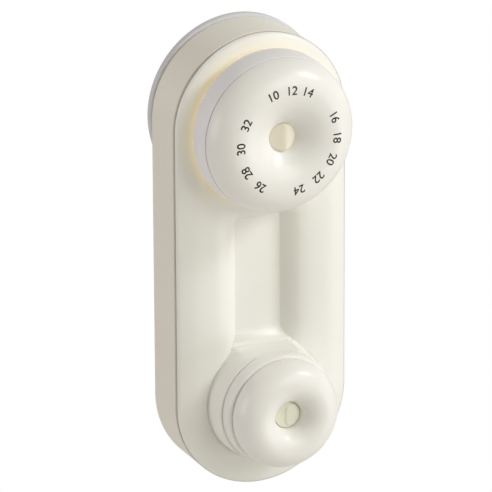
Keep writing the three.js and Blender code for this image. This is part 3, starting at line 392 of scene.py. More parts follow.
for lamp in LAMPS:
    add_softbox(*lamp)
print(len(LAMPS), "lamps,", sum(lamp[4] for lamp in LAMPS), "watts in all")


# %% [markdown]
# ## From rings of points to a piece
# Nearly every piece here is a skin over rings of points: a turned knob is a profile carried round its
# axis, and the case is an oblong outline carried forwards. Modifiers such as Screw and Bevel could do
# some of it, but joined rings give even, closed meshes whose smooth shading follows the real curve.
# One function makes a clean mesh object with its material, and one finishes the piece: smooth shading up
# to a set angle, its body and the nodes it stands for.

# %% A clean mesh, and a finished piece
SHARP_ANGLE = math.radians(38)


def mesh_object(name, verts, faces, material):
    """A closed mesh with its faces outward, from points in millimetres."""
    mesh = bpy.data.meshes.new(name)
    mesh.from_pydata([Vector(v) * MM for v in verts], [], faces)
    mesh.materials.append(material)
    work = bmesh.new()
    work.from_mesh(mesh)
    bmesh.ops.remove_doubles(work, verts=work.verts, dist=1e-7)
    bmesh.ops.recalc_face_normals(work, faces=work.faces)
    work.to_mesh(mesh)
    work.free()
    obj = bpy.data.objects.new(name, mesh)
    bpy.context.scene.collection.objects.link(obj)
    return obj


def finish_piece(obj, body, replaces=()):
    """Smooth shading, the body that it rides on, and the nodes that it stands for."""
    obj.data.shade_smooth()
    obj.data.set_sharp_from_angle(angle=SHARP_ANGLE)
    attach(obj, body)
    if replaces:
        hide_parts(*replaces)
    print(f"{obj.name}: {len(obj.data.polygons)} faces")
    return obj


# %% [markdown]
# Four shapes are enough for the whole unit: rings joined by faces, a profile turned round the depth
# axis, a plain disc and a plain box. Spin in edit mode would also turn a profile, but needs its seam
# merged and its faces checked. Here the last point of a ring simply meets the first.

# %% Rings, turned profiles, discs and boxes
def joined_rings(rings, closed=False):
    """Faces between rings of the same count. The first and last ring meet, or are capped."""
    count = len(rings[0])
    verts = [point for ring in rings for point in ring]
    faces = []
    pairs = list(zip(range(len(rings)), range(1, len(rings))))
    if closed:
        pairs.append((len(rings) - 1, 0))
    for a, b in pairs:
        for i in range(count):
            j = (i + 1) % count
            faces.append((a * count + i, a * count + j, b * count + j, b * count + i))
    if not closed:
        faces.append(tuple(range(count)))
        faces.append(tuple(range((len(rings) - 1) * count, len(rings) * count)))
    return verts, faces


def turned(profile, centre_z, sides=192, centre_x=0.0):
    """A closed profile of (radius, depth) pairs carried round the depth axis."""
    angles = np.linspace(0, 2 * math.pi, sides, endpoint=False)
    rings = [[(centre_x + r * math.cos(a), -d, centre_z + r * math.sin(a)) for a in angles]
             for r, d in profile]
    return joined_rings(rings, closed=True)


def disc(radius, back, front, centre_z, sides=192):
    """A plain round slab between two depths."""
    return turned([(0, back), (radius, back), (radius, front), (0, front)], centre_z, sides)


def box(x, z, width, height, back, front):
    """A block round a middle point, between two depths."""
    corners = [(x - width / 2, z - height / 2), (x + width / 2, z - height / 2),
               (x + width / 2, z + height / 2), (x - width / 2, z + height / 2)]
    return joined_rings([[(cx, -depth, cz) for cx, cz in corners] for depth in (back, front)])


def arc(centre, radius, start, end, steps):
    """Points on a circle in (radius, depth), from one angle in degrees to another."""
    angles = np.radians(np.linspace(start, end, steps + 1))
    return [(centre[0] + radius * math.cos(a), centre[1] + radius * math.sin(a)) for a in angles]


print("a box has", len(box(0, 0, 1, 1, 0, 1)[1]), "faces")


# %% [markdown]
# ## Openings, and pieces that repeat
# Slots, holes and windows could be modelled face by face, which is slow and easily leaves a gap. They
# are cut with a boolean instead, from a tool that holds all of a piece's cutters, and the result
# becomes the piece's own mesh.

# %% Cutting
def baked(obj):
    """Makes the result of an object's modifiers its own mesh."""
    view = bpy.context.evaluated_depsgraph_get()
    mesh = bpy.data.meshes.new_from_object(obj.evaluated_get(view))
    obj.modifiers.clear()
    obj.data = mesh
    return obj


def joined(*shapes):
    """Several shapes as one list of points and one of faces."""
    verts, faces = [], []
    for more, more_faces in shapes:
        faces += [tuple(i + len(verts) for i in face) for face in more_faces]
        verts += more
    return verts, faces


def with_tool(obj, tool, operation="DIFFERENCE"):
    """Cuts the tool from the object, or joins it, and removes the tool."""
    step = obj.modifiers.new("tool", "BOOLEAN")
    step.operation = operation
    step.solver = "EXACT"
    step.object = tool
    baked(obj)
    bpy.data.objects.remove(tool)
    return obj


# %% [markdown]
# What repeats, such as screws and vents, could be copied in a loop. One Geometry Nodes group does it
# for all of them: it puts a copy of a template on every point of a mesh, turned about the depth axis
# by a random angle from a fixed seed, makes the copies real and gives them their finish. A driven
# screw stops at an angle of its own, and the random turn shows that.

# %% Repeating
def repeat_group():
    group = bpy.data.node_groups.new("repeat_on_points", "GeometryNodeTree")
    for name, kind in (("Points", "Geometry"), ("Template", "Object"), ("Finish", "Material"),
                       ("Largest turn", "Float"), ("Seed", "Int")):
        group.interface.new_socket(name=name, in_out="INPUT", socket_type="NodeSocket" + kind)
    group.interface.new_socket(name="Copies", in_out="OUTPUT", socket_type="NodeSocketGeometry")
    given = add_node(group, "NodeGroupInput").outputs
    template = add_node(group, "GeometryNodeObjectInfo", {"Object": given["Template"]})
    largest = add_node(group, "ShaderNodeCombineXYZ", {"Y": given["Largest turn"]})
    turn = add_node(group, "FunctionNodeRandomValue",
                    {"Max": largest.outputs["Vector"], "Seed": given["Seed"]}, data_type="FLOAT_VECTOR")
    turn.inputs["Min"].default_value = (0, 0, 0)
    copies = add_node(group, "GeometryNodeInstanceOnPoints",
                      {"Points": given["Points"], "Instance": template.outputs["Geometry"],
                       "Rotation": turn.outputs["Value"]})
    real = add_node(group, "GeometryNodeRealizeInstances", {"Geometry": copies.outputs["Instances"]})
    finished = add_node(group, "GeometryNodeSetMaterial",
                        {"Geometry": real.outputs["Geometry"], "Material": given["Finish"]})
    add_node(group, "NodeGroupOutput", {"Copies": finished.outputs["Geometry"]})
    return group


REPEAT = repeat_group()
print(REPEAT.name, "has", len(REPEAT.nodes), "nodes")


def repeated(name, template, places, finish, largest_turn=0.0, seed=0):
    """Copies of a template, which is then removed, at places in millimetres."""
    obj = mesh_object(name, places, [], finish)
    step = obj.modifiers.new("repeat", "NODES")
    step.node_group = REPEAT
    values = {"Template": template, "Finish": finish, "Largest turn": largest_turn, "Seed": seed}
    for socket in REPEAT.interface.items_tree:
        if socket.in_out == "INPUT" and socket.name in values:
            step[socket.identifier] = values[socket.name]
    baked(obj)
    bpy.data.objects.remove(template)
    return obj


# %% [markdown]
# ## Main sizes
# The axes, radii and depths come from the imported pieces. They could be typed in again, but then a
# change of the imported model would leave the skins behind. Depth is the distance in front of the wall.

# %% Sizes from the frame
BODY_R, _, CASE_BACK, CASE_FRONT = span("rear_case")
PLATE_R, PLATE_Z, _, _ = span("wall_plate")
RING_R, DIAL_Z, RING_BACK, RING_FRONT = span("dial_ring")
_, _, CAP_BACK, _ = span("dial_cap")
PIT_R, _, PIT_BACK, _ = span("dial_centre_cap")
KNOB_R, KNOB_Z, KNOB_BACK, KNOB_FRONT = span("knob_ring")
_, _, KNOB_CAP_BACK, _ = span("knob_cap")
BUTTON_R, _, BUTTON_END, BUTTON_FRONT = span("push_button")
_, _, _, DECK = span("front_cover")
_, _, INSERT_BACK, BOSS_FRONT = span("centre_insert")
PAD_R, PAD_Z, _, PAD_FRONT = span("foot_pad")
GLOW_R, _, GLOW_BACK, GLOW_FRONT = span("glow_ring")
GAP = 0.3  # clearance between pieces
WALL = 2.2  # moulded wall
SEAM = CASE_FRONT + GAP / 2
INNER_BACK = CASE_BACK + WALL
print(f"body {2 * BODY_R:.1f} mm wide, seam {SEAM:.1f} mm from the wall, knob axis {KNOB_Z:.1f} mm")


# %% [markdown]
# ## The front cover
# The cover is one moulding: a crowned pillow with a long recess through its middle and a round hole
# for the knob's collar. Sculpting or bevelling a solid would leave uneven shading on such long, slow
# curves, so the surface is a height rule. The crown rises with the distance from the outer edge and
# falls again towards the recess, a slope leads down to the recess's floor, and a bevel rings the
# hole. The lowest of the rules counts. Each is blended with the next, over a small radius at the
# edges and a wider one at the head of the slope, which is a soft roll.

# %% The cover's sizes
EDGE_R = 2.5  # roll of the outer edge
SHADOW_HALF, SHADOW_DEEP = 0.85, 1.3  # the joint's shadow line: half its width, and its depth
CREST = DECK - SEAM - GAP / 2  # height of the crown
CREST_IN = 14.0  # from the outer edge to the top of the crown
SLOT_HALF, SLOT_TOP, SLOT_CORNER = 11.5, -46.6, 1.0  # the recess at its floor
FLOOR = SEAM - 2.7
FLOOR_CLEAR = 0.05
SLOPE_OUT, SLOPE_MEET = 4.6, 2.4  # the slope's width, and how far under the crest it begins
SLOPE_DOWN = CREST - SLOPE_MEET + SEAM + GAP / 2 - FLOOR - FLOOR_CLEAR
MOUTH_OUT = 11.5  # width of the crown's fall towards the slope
BOSS_R = 29.0  # the collar at the recess's floor
HOLE_R = 28.75  # the cover's hole round the collar
RIM_BEVEL, RIM_REACH = 1.3, 3.0  # bevel of the hole, and how far over the crest its rule is followed
BLEND, SLOPE_BLEND = 0.7, 2.4  # at the edges, and at the head of the slope
print(f"crown {CREST:.2f} mm high, slope {SLOPE_DOWN:.2f} mm down to the floor")

# %% [markdown]
# The rules are written as functions of a point on the wall plane, and work on whole arrays of points.
# The roll of the outer edge stops where its direction is that of the crown's long curve, so there is
# no kink between them.

# %% The cover's height
ROLL_IN, ROLL_UP = 0.6, 0.93  # about where the roll ends, as shares of its radius


def soft_min(a, b, blend):
    """The smaller of two values, rounded off where they are within the blend of each other."""
    over = np.maximum(blend - np.abs(a - b), 0) / blend
    return np.minimum(a, b) - over * over * blend / 4


def outer_distance(x, z):
    """From the body's outline inwards."""
    beyond = np.where(z > DIAL_Z, z - DIAL_Z, np.where(z < KNOB_Z, z - KNOB_Z, 0))
    return BODY_R - np.hypot(x, beyond)


def slot_distance(x, z):
    """From the recess's outline outwards."""
    side = np.abs(x) - (SLOT_HALF - SLOT_CORNER)
    above = z - (SLOT_TOP - SLOT_CORNER)
    corner = np.hypot(np.maximum(side, 0), np.maximum(above, 0)) - SLOT_CORNER
    round_end = np.hypot(x, z - KNOB_Z) - SLOT_HALF
    return np.where(z < KNOB_Z, round_end, corner)


def crown_height(inward):
    """A small roll at the edge that runs on, without a kink, into the crown's long curve."""
    turn = math.atan2(CREST_IN - EDGE_R * ROLL_IN, 2 * (CREST - EDGE_R * ROLL_UP))
    join = EDGE_R * (1 - math.cos(turn))
    join_height = EDGE_R * math.sin(turn)
    roll = np.sqrt(np.maximum(EDGE_R**2 - (EDGE_R - np.clip(inward, 0, join))**2, 0))
    run = np.clip((CREST_IN - inward) / (CREST_IN - join), 0, 1)
    crown = np.where(inward < join, roll, CREST - (CREST - join_height) * run**2)
    return np.maximum(crown, SHADOW_HALF)


def cover_depth(x, z):
    """From the wall to the cover's face."""
    away = slot_distance(x, z)
    run = np.clip(1 - (away - SLOPE_OUT) / MOUTH_OUT, 0, 2)
    fall = CREST - SLOPE_MEET * run**2
    slope = CREST - SLOPE_MEET - SLOPE_DOWN * (1 - away / SLOPE_OUT)
    rim = CREST - RIM_BEVEL + np.hypot(x, z - KNOB_Z) - HOLE_R
    height = soft_min(crown_height(outer_distance(x, z)), fall, BLEND)
    height = soft_min(height, slope, SLOPE_BLEND)
    height = np.where(rim < CREST + RIM_REACH, soft_min(height, rim, BLEND), height)
    return SEAM + GAP / 2 + height


beside_recess = float(cover_depth(SLOT_HALF + SLOPE_OUT + MOUTH_OUT, SLOT_TOP - MOUTH_OUT))
print(f"beside the recess the cover's face is {beside_recess:.1f} mm from the wall")


# %% [markdown]
# The mesh follows both outlines: stations run once round the cover, and each joins a point on the
# outer outline to one on the edge of the opening. A plain grid would cut across the edges and show as
# steps. The right half is laid out from below, round the hole, up the slot and over the top, and the
# left half is its mirror image.

# %% The cover's stations
LOW_STEPS, HOLE_STEPS, SLOT_STEPS, TOP_STEPS, CORNER_STEPS = 44, 30, 24, 72, 12


def cover_stations():
    """Pairs of functions of a distance: a point inside the outer edge, a point outside the opening."""
    meet = math.acos(SLOT_HALF / HOLE_R)
    meet_z = KNOB_Z + HOLE_R * math.sin(meet)
    corner_z = SLOT_TOP - SLOT_CORNER
    rise = DIAL_Z - corner_z
    loop = rise + BODY_R * math.pi / 2
    stations = []

    def outer_side(z):
        return lambda d: (BODY_R - d, z)

    def outer_round(centre_z, angle):
        return lambda d: ((BODY_R - d) * math.cos(angle), centre_z + (BODY_R - d) * math.sin(angle))

    def hole_low(angle):
        return lambda e: ((HOLE_R + e) * math.cos(angle), KNOB_Z + (HOLE_R + e) * math.sin(angle))

    def hole_point(share):
        def point(e):
            end = math.acos((SLOT_HALF + e) / (HOLE_R + e))
            return ((HOLE_R + e) * math.cos(end * share), KNOB_Z + (HOLE_R + e) * math.sin(end * share))
        return point

    def slot_side(share):
        def point(e):
            low = KNOB_Z + math.sqrt((HOLE_R + e)**2 - (SLOT_HALF + e)**2)
            return (SLOT_HALF + e, low + (corner_z - low) * share)
        return point

    def slot_corner(angle):
        return lambda e: (SLOT_HALF - SLOT_CORNER + (SLOT_CORNER + e) * math.cos(angle),
                          corner_z + (SLOT_CORNER + e) * math.sin(angle))

    def outer_loop(way):
        if way < rise:
            return outer_side(corner_z + way)
        return outer_round(DIAL_Z, (way - rise) / BODY_R)

    for angle in np.linspace(-math.pi / 2, 0, LOW_STEPS, endpoint=False):
        stations.append((outer_round(KNOB_Z, angle), hole_low(angle)))
    for share in np.linspace(0, 1, HOLE_STEPS, endpoint=False):
        stations.append((outer_side(KNOB_Z + HOLE_R * math.sin(meet * share)), hole_point(share)))
    for share in np.linspace(0, 1, SLOT_STEPS, endpoint=False):
        stations.append((outer_side(meet_z + (corner_z - meet_z) * share), slot_side(share)))
    for i in range(TOP_STEPS + 1):
        if i < CORNER_STEPS:
            inner = slot_corner(math.pi / 2 * i / CORNER_STEPS)
        else:
            left = (SLOT_HALF - SLOT_CORNER) * (TOP_STEPS - i) / (TOP_STEPS - CORNER_STEPS)
            inner = (lambda e, x=left: (x, SLOT_TOP + e))
        stations.append((outer_loop(loop * i / TOP_STEPS), inner))
    mirrored = [(lambda d, f=f: (-f(d)[0], f(d)[1]), lambda e, g=g: (-g(e)[0], g(e)[1]))
                for f, g in stations[-2:0:-1]]
    return stations + mirrored


print(len(cover_stations()), "stations round the cover")

# %% [markdown]
# Each station gives one line of points: from the shadow line over the edge, the crown and the slope to
# the opening, then back along the inside, where a tongue reaches into the case. Points are close
# together at the two edges, where the surface turns quickly, and wide apart on the crown. Every line
# has the same number of points, so the lines join up to rings.

# %% The cover
OUTER_STEPS = [0, 0.03, 0.12, 0.28, 0.5, 0.8, 1.15, 1.6, 2.2, 3.0, 4.0, 5.0]
INNER_STEPS = [8.0, 7.0, 6.2, 5.6, 5.2, 4.9, 4.6, 4.3, 4.0, 3.6, 3.0, 2.4, 1.9, 1.5, 1.2, 0.9, 0.6, 0.3, 0]
ACROSS = 14  # steps between the two
TONGUE, TONGUE_T, TONGUE_SET = 1.6, 0.9, 0.1  # its reach, its thickness, and its play in the case
SLOPE_WALL = 4.0  # wall behind the slope, wide enough to stay behind its soft roll


def inside_points(outer, inner):
    """From the opening's edge back to the shadow line: inner wall, back face and tongue."""
    base, foot = SEAM + GAP / 2, FLOOR + 0.01
    tongue_out, tongue_in = WALL + TONGUE_SET, WALL + TONGUE_SET + TONGUE_T
    points = [(inner(0), foot), (inner(SLOPE_WALL), foot), (inner(SLOPE_WALL), base),
              (outer(tongue_in), base), (outer(tongue_in), base - TONGUE),
              (outer(tongue_out), base - TONGUE), (outer(tongue_out), base)]
    return [(x, -depth, z) for (x, z), depth in points]


def cover_line(outer, inner):
    """One station's closed line of points."""
    line = [outer(d) for d in OUTER_STEPS]
    (ax, az), (bx, bz) = line[-1], inner(INNER_STEPS[0])
    line += [(ax + (bx - ax) * t / ACROSS, az + (bz - az) * t / ACROSS) for t in range(1, ACROSS)]
    line += [inner(e) for e in INNER_STEPS]
    x, z = np.array(line).T
    hem_x, hem_z = outer(SHADOW_DEEP)
    base = SEAM + GAP / 2
    shadow = [(hem_x, -base, hem_z), (hem_x, -base - SHADOW_HALF, hem_z)]
    return shadow + list(zip(x, -cover_depth(x, z), z)) + inside_points(outer, inner)


cover_rings = list(zip(*[cover_line(outer, inner) for outer, inner in cover_stations()]))
cover = mesh_object("cover_skin", *joined_rings(cover_rings, closed=True), COVER_ABS)
finish_piece(cover, "housing", ["front_cover"])


# %% [markdown]
# ## The case behind it
# The case is a deep tray with the cover's outline, straight sides and a small roll at its back edge.
# A box with bevels would need its two round ends fitted, so it is a stack of oblong rings instead. Its
# front edge and the cover's back edge are both stepped in, so the joint shows as a narrow shadow line.

# %% The case's shell
CASE_EDGE = 1.0
SEAM_EDGE = 0.25  # chamfer of the case's front edge, at the shadow line


def oblong(radius, depth, steps=96):
    """The body's outline at a depth: two half circles round the two axes."""
    angles = np.linspace(0, math.pi, steps + 1)
    top = [(radius * math.cos(a), -depth, DIAL_Z + radius * math.sin(a)) for a in angles]
    bottom = [(-radius * math.cos(a), -depth, KNOB_Z - radius * math.sin(a)) for a in angles]
    return top + bottom


def case_mesh():
    """From the back's roll over the straight side to the stepped front edge, and in to the back wall."""
    rings = [oblong(BODY_R - CASE_EDGE * (1 - math.sin(a)), CASE_BACK + CASE_EDGE * (1 - math.cos(a)))
             for a in np.radians(np.linspace(0, 90, 7))]
    edge = SEAM - GAP / 2
    lip = edge - SHADOW_HALF
    rings += [oblong(BODY_R, depth) for depth in (CASE_BACK + 2 * CASE_EDGE, lip - 0.9, lip - SEAM_EDGE)]
    step_in = BODY_R - SHADOW_DEEP
    rings += [oblong(BODY_R - SEAM_EDGE, lip), oblong(step_in, lip), oblong(step_in, edge)]
    rings += [oblong(BODY_R - WALL, edge), oblong(BODY_R - WALL, INNER_BACK)]
    return joined_rings(rings)


case = mesh_object("case_skin", *case_mesh(), CASE_ABS)
print("case shell", len(case.data.polygons), "faces")

# %% [markdown]
# The back has windows for the wall plate's hooks, a hole for the cable, counterbores for four screws
# and a seat for the rubber pad. At the lower end, seven narrow vents let the room's air reach the
# sensor. The vents repeat, so they are one template on seven points.

# %% The case's openings
HOOK_X, HOOK_HEIGHTS, HOOK_W, HOOK_T, HOOK_LIFT = 11.0, (24.0, -5.0), 8.0, 2.2, 3.0
CABLE_Z, CABLE_R, CABLE_EASE = -22.0, 9.0, 1.0
VENT_COUNT, VENT_PITCH, VENT_W, VENT_REACH, VENT_MIDDLE = 7, 6.0, 2.2, 6.2, 4.0
VENT_BACK, VENT_FRONT = INNER_BACK + 4, SEAM - 6
SCREW_HEAD_R, SCREW_HEAD, SCREW_BORE_R = 2.9, 1.9, 1.8
PAD_SINK = 1.0
SCREWS = [f"case_screw_{i}" for i in (1, 2, 3, 4)]


def screw_place(node):
    """The middle of a screw's head: sideways, out of the wall, and up."""
    low, high = (Vector(corner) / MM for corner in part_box(node))
    return (low.x + high.x) / 2, high.y, (low.z + high.z) / 2


def case_cutters():
    """All cutters start a little behind the case's back, and most end a little inside it."""
    low, through = CASE_BACK - 1, INNER_BACK + 1
    shapes = [disc(CABLE_R + CABLE_EASE, low, through, CABLE_Z, 64),
              disc(PAD_R + GAP, low, CASE_BACK + PAD_SINK, PAD_Z)]
    wide, high = HOOK_W + 2 * GAP, HOOK_T + HOOK_LIFT + 2 * GAP
    for x in (-HOOK_X, HOOK_X):
        for z in HOOK_HEIGHTS:
            shapes.append(box(x, z + HOOK_LIFT / 2, wide, high, low, through))
    head_r, seat = SCREW_HEAD_R + GAP, CASE_BACK + SCREW_HEAD + GAP
    counterbore = [(0, low), (head_r, low), (head_r, seat), (SCREW_BORE_R, seat),
                   (SCREW_BORE_R, through), (0, through)]
    for node in SCREWS:
        x, _, z = screw_place(node)
        shapes.append(turned(counterbore, z, 48, x))
    return joined(*shapes)


with_tool(case, mesh_object("case_tool", *case_cutters(), CASE_ABS))
vent = mesh_object("vent_tool", *box(0, 0, VENT_W, 2 * VENT_REACH, VENT_BACK, VENT_FRONT), CASE_ABS)
vent_z = KNOB_Z - BODY_R + VENT_MIDDLE
vent_places = [((i - (VENT_COUNT - 1) / 2) * VENT_PITCH, 0, vent_z) for i in range(VENT_COUNT)]
with_tool(case, repeated("vents_tool", vent, vent_places, CASE_ABS))
finish_piece(case, "housing", ["rear_case"])

# %% [markdown]
# ## Case screws
# Four screws hold the cover, driven from the back. They are pan heads with a cross recess: a turned
# profile, with the cross cut by two crossed bars. The four are copies of one, each turned differently.

# %% Case screws
SHANK_R, SHANK_END, SHANK_POINT = 1.5, 24.6, 1.0
HEAD_ROUND, HEAD_FLAT_R = 0.5, 1.6
CROSS_LONG, CROSS_WIDE, CROSS_DEEP = 3.2, 0.8, 0.7


def screw_profile():
    middle = SCREW_HEAD_R - HEAD_ROUND
    rim = arc((middle, HEAD_ROUND), HEAD_ROUND, -90, 0, 6)
    shank = [(SCREW_HEAD_R, SCREW_HEAD), (SHANK_R, SCREW_HEAD), (SHANK_R, SHANK_END - SHANK_POINT),
             (0, SHANK_END)]
    return [(0, 0), (HEAD_FLAT_R, 0)] + rim + shank


screw = mesh_object("screw", *turned(screw_profile(), 0, 48), ZINC_STEEL)
# one bar is a hair deeper, so that no two faces of the tool lie in one plane
cross = joined(box(0, 0, CROSS_LONG, CROSS_WIDE, -1, CROSS_DEEP),
               box(0, 0, CROSS_WIDE, CROSS_LONG, -1, CROSS_DEEP + 0.01))
with_tool(screw, mesh_object("cross_tool", *cross, ZINC_STEEL))
screws = repeated("case_screws", screw, [screw_place(node) for node in SCREWS], ZINC_STEEL,
                  largest_turn=2 * math.pi, seed=7)
finish_piece(screws, "housing", SCREWS)


# %% [markdown]
# ## Wall plate
# The grey plate is a flat disc with a chamfered front edge. It has two upright screw slots for a wall
# box, a hole for the cable, and four hooks that carry the case. A profile turned round the axis gives
# the disc a clean chamfer. The slots and the hole are cut from it, and the hooks joined to it, because
# on the real plate they are all one moulding.

# %% Wall plate
PLATE_T = 3.0
PLATE_EDGE = 0.6
HOOK_ROOT = 0.5
SLOT_X, SCREW_SLOT_R, SCREW_REACH, HEAD_SLOT_R, HEAD_SINK = 30.0, 2.3, 3.0, 4.6, 1.5


def upright_slot(x, radius, back, front):
    angles = np.radians(np.arange(0, 181, 10))
    upper = [(x + radius * math.cos(a), SCREW_REACH + radius * math.sin(a)) for a in angles]
    outline = upper + [(2 * x - px, -pz) for px, pz in upper]
    return joined_rings([[(px, -depth, pz) for px, pz in outline] for depth in (back, front)])


def plate_cutters():
    shapes = [disc(CABLE_R, -1, PLATE_T + 1, CABLE_Z, 64)]
    for x in (-SLOT_X, SLOT_X):
        shapes.append(upright_slot(x, SCREW_SLOT_R, -1, PLATE_T - HEAD_SINK + 0.1))
        shapes.append(upright_slot(x, HEAD_SLOT_R, PLATE_T - HEAD_SINK, PLATE_T + 1))
    return joined(*shapes)


def plate_hooks():
    """Four hooks: an arm through the case's back wall, and a nose that rises behind it."""
    root, nose = PLATE_T - HOOK_ROOT, INNER_BACK + GAP
    shapes = []
    for x in (-HOOK_X, HOOK_X):
        for z in HOOK_HEIGHTS:
            under, over = z - HOOK_T / 2, z + HOOK_T / 2
            outline = [(root, under), (nose + HOOK_T, under), (nose + HOOK_T, over + HOOK_LIFT),
                       (nose, over + HOOK_LIFT), (nose, over), (root, over)]
            shapes.append(joined_rings([[(side, -d, h) for d, h in outline]
                                        for side in (x - HOOK_W / 2, x + HOOK_W / 2)]))
    return joined(*shapes)


plate_profile = [(0, 0), (PLATE_R, 0), (PLATE_R, PLATE_T - PLATE_EDGE), (PLATE_R - 0.15, PLATE_T - 0.3),
                 (PLATE_R - PLATE_EDGE, PLATE_T), (0, PLATE_T)]
plate = mesh_object("plate_skin", *turned(plate_profile, PLATE_Z), PLATE_PC)
with_tool(plate, mesh_object("plate_tool", *plate_cutters(), PLATE_PC))
with_tool(plate, mesh_object("hook_tool", *plate_hooks(), PLATE_PC), "UNION")
finish_piece(plate, "housing", ["wall_plate"])

# %% [markdown]
# ## Foot pad
# The lower end stands off the wall on a round rubber pad, which sits in a shallow seat in the case. A
# cylinder with a bevel would do, but a turned profile puts the bevel on the wall side only.

# %% Foot pad
pad_profile = [(0, 0), (PAD_R - 1, 0), (PAD_R - 0.3, 0.3), (PAD_R, 1), (PAD_R, PAD_FRONT), (0, PAD_FRONT)]
finish_piece(mesh_object("pad_skin", *turned(pad_profile, PAD_Z, 96), PAD_RUBBER), "housing",
             ["foot_pad"])


# %% [markdown]
# ## The centre insert: collar
# One moulding makes the recess's floor and the collar under the mode knob. The collar is a slightly
# tapered round boss, and it is cut flat on top, where the floor runs up on to it. Sculpting a boss
# from the floor would never be truly round, so it is turned first and cut afterwards. A flare at its
# foot fills the cover's rim.

# %% The insert's collar
BOSS_FRONT_R = 28.0
BOSS_EDGE = 0.5
FLARE = 0.6
FLAT_Z, FLAT_HALF = 25.3, 12.1  # the flat on the collar: its height above the axis, half its width


def collar_profile():
    """From the axis at the back: the boss, a flare that fills the hole's rim, the taper, the front."""
    front = arc((BOSS_FRONT_R - BOSS_EDGE, BOSS_FRONT - BOSS_EDGE), BOSS_EDGE, 0, 90, 6)
    flare = [(BOSS_R + FLARE, DECK - 2.2), (HOLE_R + 0.3, DECK - 1.0), (HOLE_R, DECK - 0.4),
             (HOLE_R - 0.15, DECK + 0.4)]
    return [(0, INSERT_BACK), (BOSS_R + FLARE, INSERT_BACK)] + flare + front + [(0, BOSS_FRONT)]


collar = mesh_object("insert_skin", *turned(collar_profile(), KNOB_Z, 256), COVER_ABS)
flat = box(0, KNOB_Z + FLAT_Z + BOSS_R / 2, 3 * BOSS_R, BOSS_R, INSERT_BACK - 1, BOSS_FRONT + 1)
with_tool(collar, mesh_object("cut_tool", *flat, COVER_ABS))
print("collar", len(collar.data.polygons), "faces")

# %% [markdown]
# ## The centre insert: floor and sweep
# The floor and its sweep are one strip: a side profile with a quarter of a circle in it, carried
# across the recess's width. A bevel on the step between floor and collar could give the curve, but
# not the strip's change of width along it. A small bevel runs along both edges of the sweep, because
# a moulded edge is never quite sharp and catches a thin line of light. Behind its front the collar is
# hollow, to hold the selector switch.

# %% The insert's floor
SWEEP_R = 8.0
STRIP_EDGE = 0.5  # bevel of the strip's edges
STRIP_PROUD = 0.06  # keeps the strip's top clear of the collar's cut face
SLOPE_BITE, TOP_BITE = 0.15, 0.1  # how far the strip runs into what stands beside it
BUSH_R = 6.7


def strip_half(turn, depth):
    """As wide as the recess's slopes leave room, then narrowing to the flat on the collar."""
    between_slopes = SLOT_HALF + (depth - FLOOR) * SLOPE_OUT / SLOPE_DOWN + SLOPE_BITE
    top = SLOT_HALF + SLOPE_OUT + TOP_BITE
    return min(between_slopes, top - (top - FLAT_HALF) * max(turn - 60, 0) / 30)


def strip_stations():
    """Angle on the sweep in degrees, depth and height: along the floor, round the sweep, along the flat."""
    z = KNOB_Z + FLAT_Z + STRIP_PROUD
    centre = (FLOOR + SWEEP_R, z + SWEEP_R)
    sweep = [(turn, *arc(centre, SWEEP_R, turn, turn, 0)[0]) for turn in range(180, 271, 3)]
    return [(180, FLOOR, SLOT_TOP + 1), (180, FLOOR, centre[1] + 2), *sweep, (270, BOSS_FRONT - 0.5, z)]


def floor_strip():
    rings = []
    for turn, depth, height in strip_stations():
        wide = strip_half(turn - 180, depth)
        bevel = STRIP_EDGE * min(max(turn - 200, 0) / 30, 1)
        edge_depth = depth + math.cos(math.radians(turn)) * bevel
        edge_height = height + math.sin(math.radians(turn)) * bevel
        inner = wide - bevel * 1.4
        corners = [(-wide, edge_depth, edge_height), (-inner, depth, height), (inner, depth, height),
                   (wide, edge_depth, edge_height), (wide, INSERT_BACK, height - 6),
                   (-wide, INSERT_BACK, height - 6)]
        rings.append([(x, -d, h) for x, d, h in corners])
    return joined_rings(rings)


floor_low, floor_high = KNOB_Z + 34, SLOT_TOP + 1
floor_block = box(0, (floor_low + floor_high) / 2, 2 * SLOT_HALF + 2, floor_high - floor_low,
                  INSERT_BACK, FLOOR)
for shape in (floor_strip(), floor_block):
    with_tool(collar, mesh_object("strip_tool", *shape, COVER_ABS), "UNION")
room = FLAT_Z - 2 * WALL
inside = [(0, INSERT_BACK - 1), (room, INSERT_BACK - 1), (room, BOSS_FRONT - WALL),
          (BUSH_R, BOSS_FRONT - WALL), (BUSH_R, BOSS_FRONT + 1), (0, BOSS_FRONT + 1)]
with_tool(collar, mesh_object("hollow_tool", *turned(inside, KNOB_Z), COVER_ABS))
finish_piece(collar, "housing", ["centre_insert"])


# %% [markdown]
# ## The light ring
# A milky acrylic ring lies on the crown behind the dial. Only its light shows, as a warm rim on the
# cover round the dial's back edge. A torus would be quicker, but the real guide is a flat ring with a
# rounded outer edge, from which most of the light leaves.

# %% Light ring
GLOW_W, GLOW_EDGE = 6.4, 0.5
GLOW_IN = GLOW_R - GLOW_W
glow_profile = [(GLOW_IN, GLOW_BACK), (GLOW_R, GLOW_BACK), (GLOW_R, GLOW_FRONT - GLOW_EDGE),
                (GLOW_R - 0.3 * GLOW_EDGE, GLOW_FRONT - 0.3 * GLOW_EDGE),
                (GLOW_R - GLOW_EDGE, GLOW_FRONT), (GLOW_IN, GLOW_FRONT)]
finish_piece(mesh_object("glow_skin", *turned(glow_profile, DIAL_Z), AMBER_ACRYLIC), "housing",
             ["glow_ring"])


# %% [markdown]
# ## The dial
# The dial is a lilac white ring with a puffy cream cap. The cap is one roll carried round, like a
# ring cushion, that eases into a dimple. A torus with its hole filled would leave a crease and a flat
# floor. So the face follows a rule: outside the crest a true arc gives the long, soft highlight that
# such a roll has, and inside it the face falls by a power of the distance from the crest, so that it
# is steepest next to the small disc in the middle.

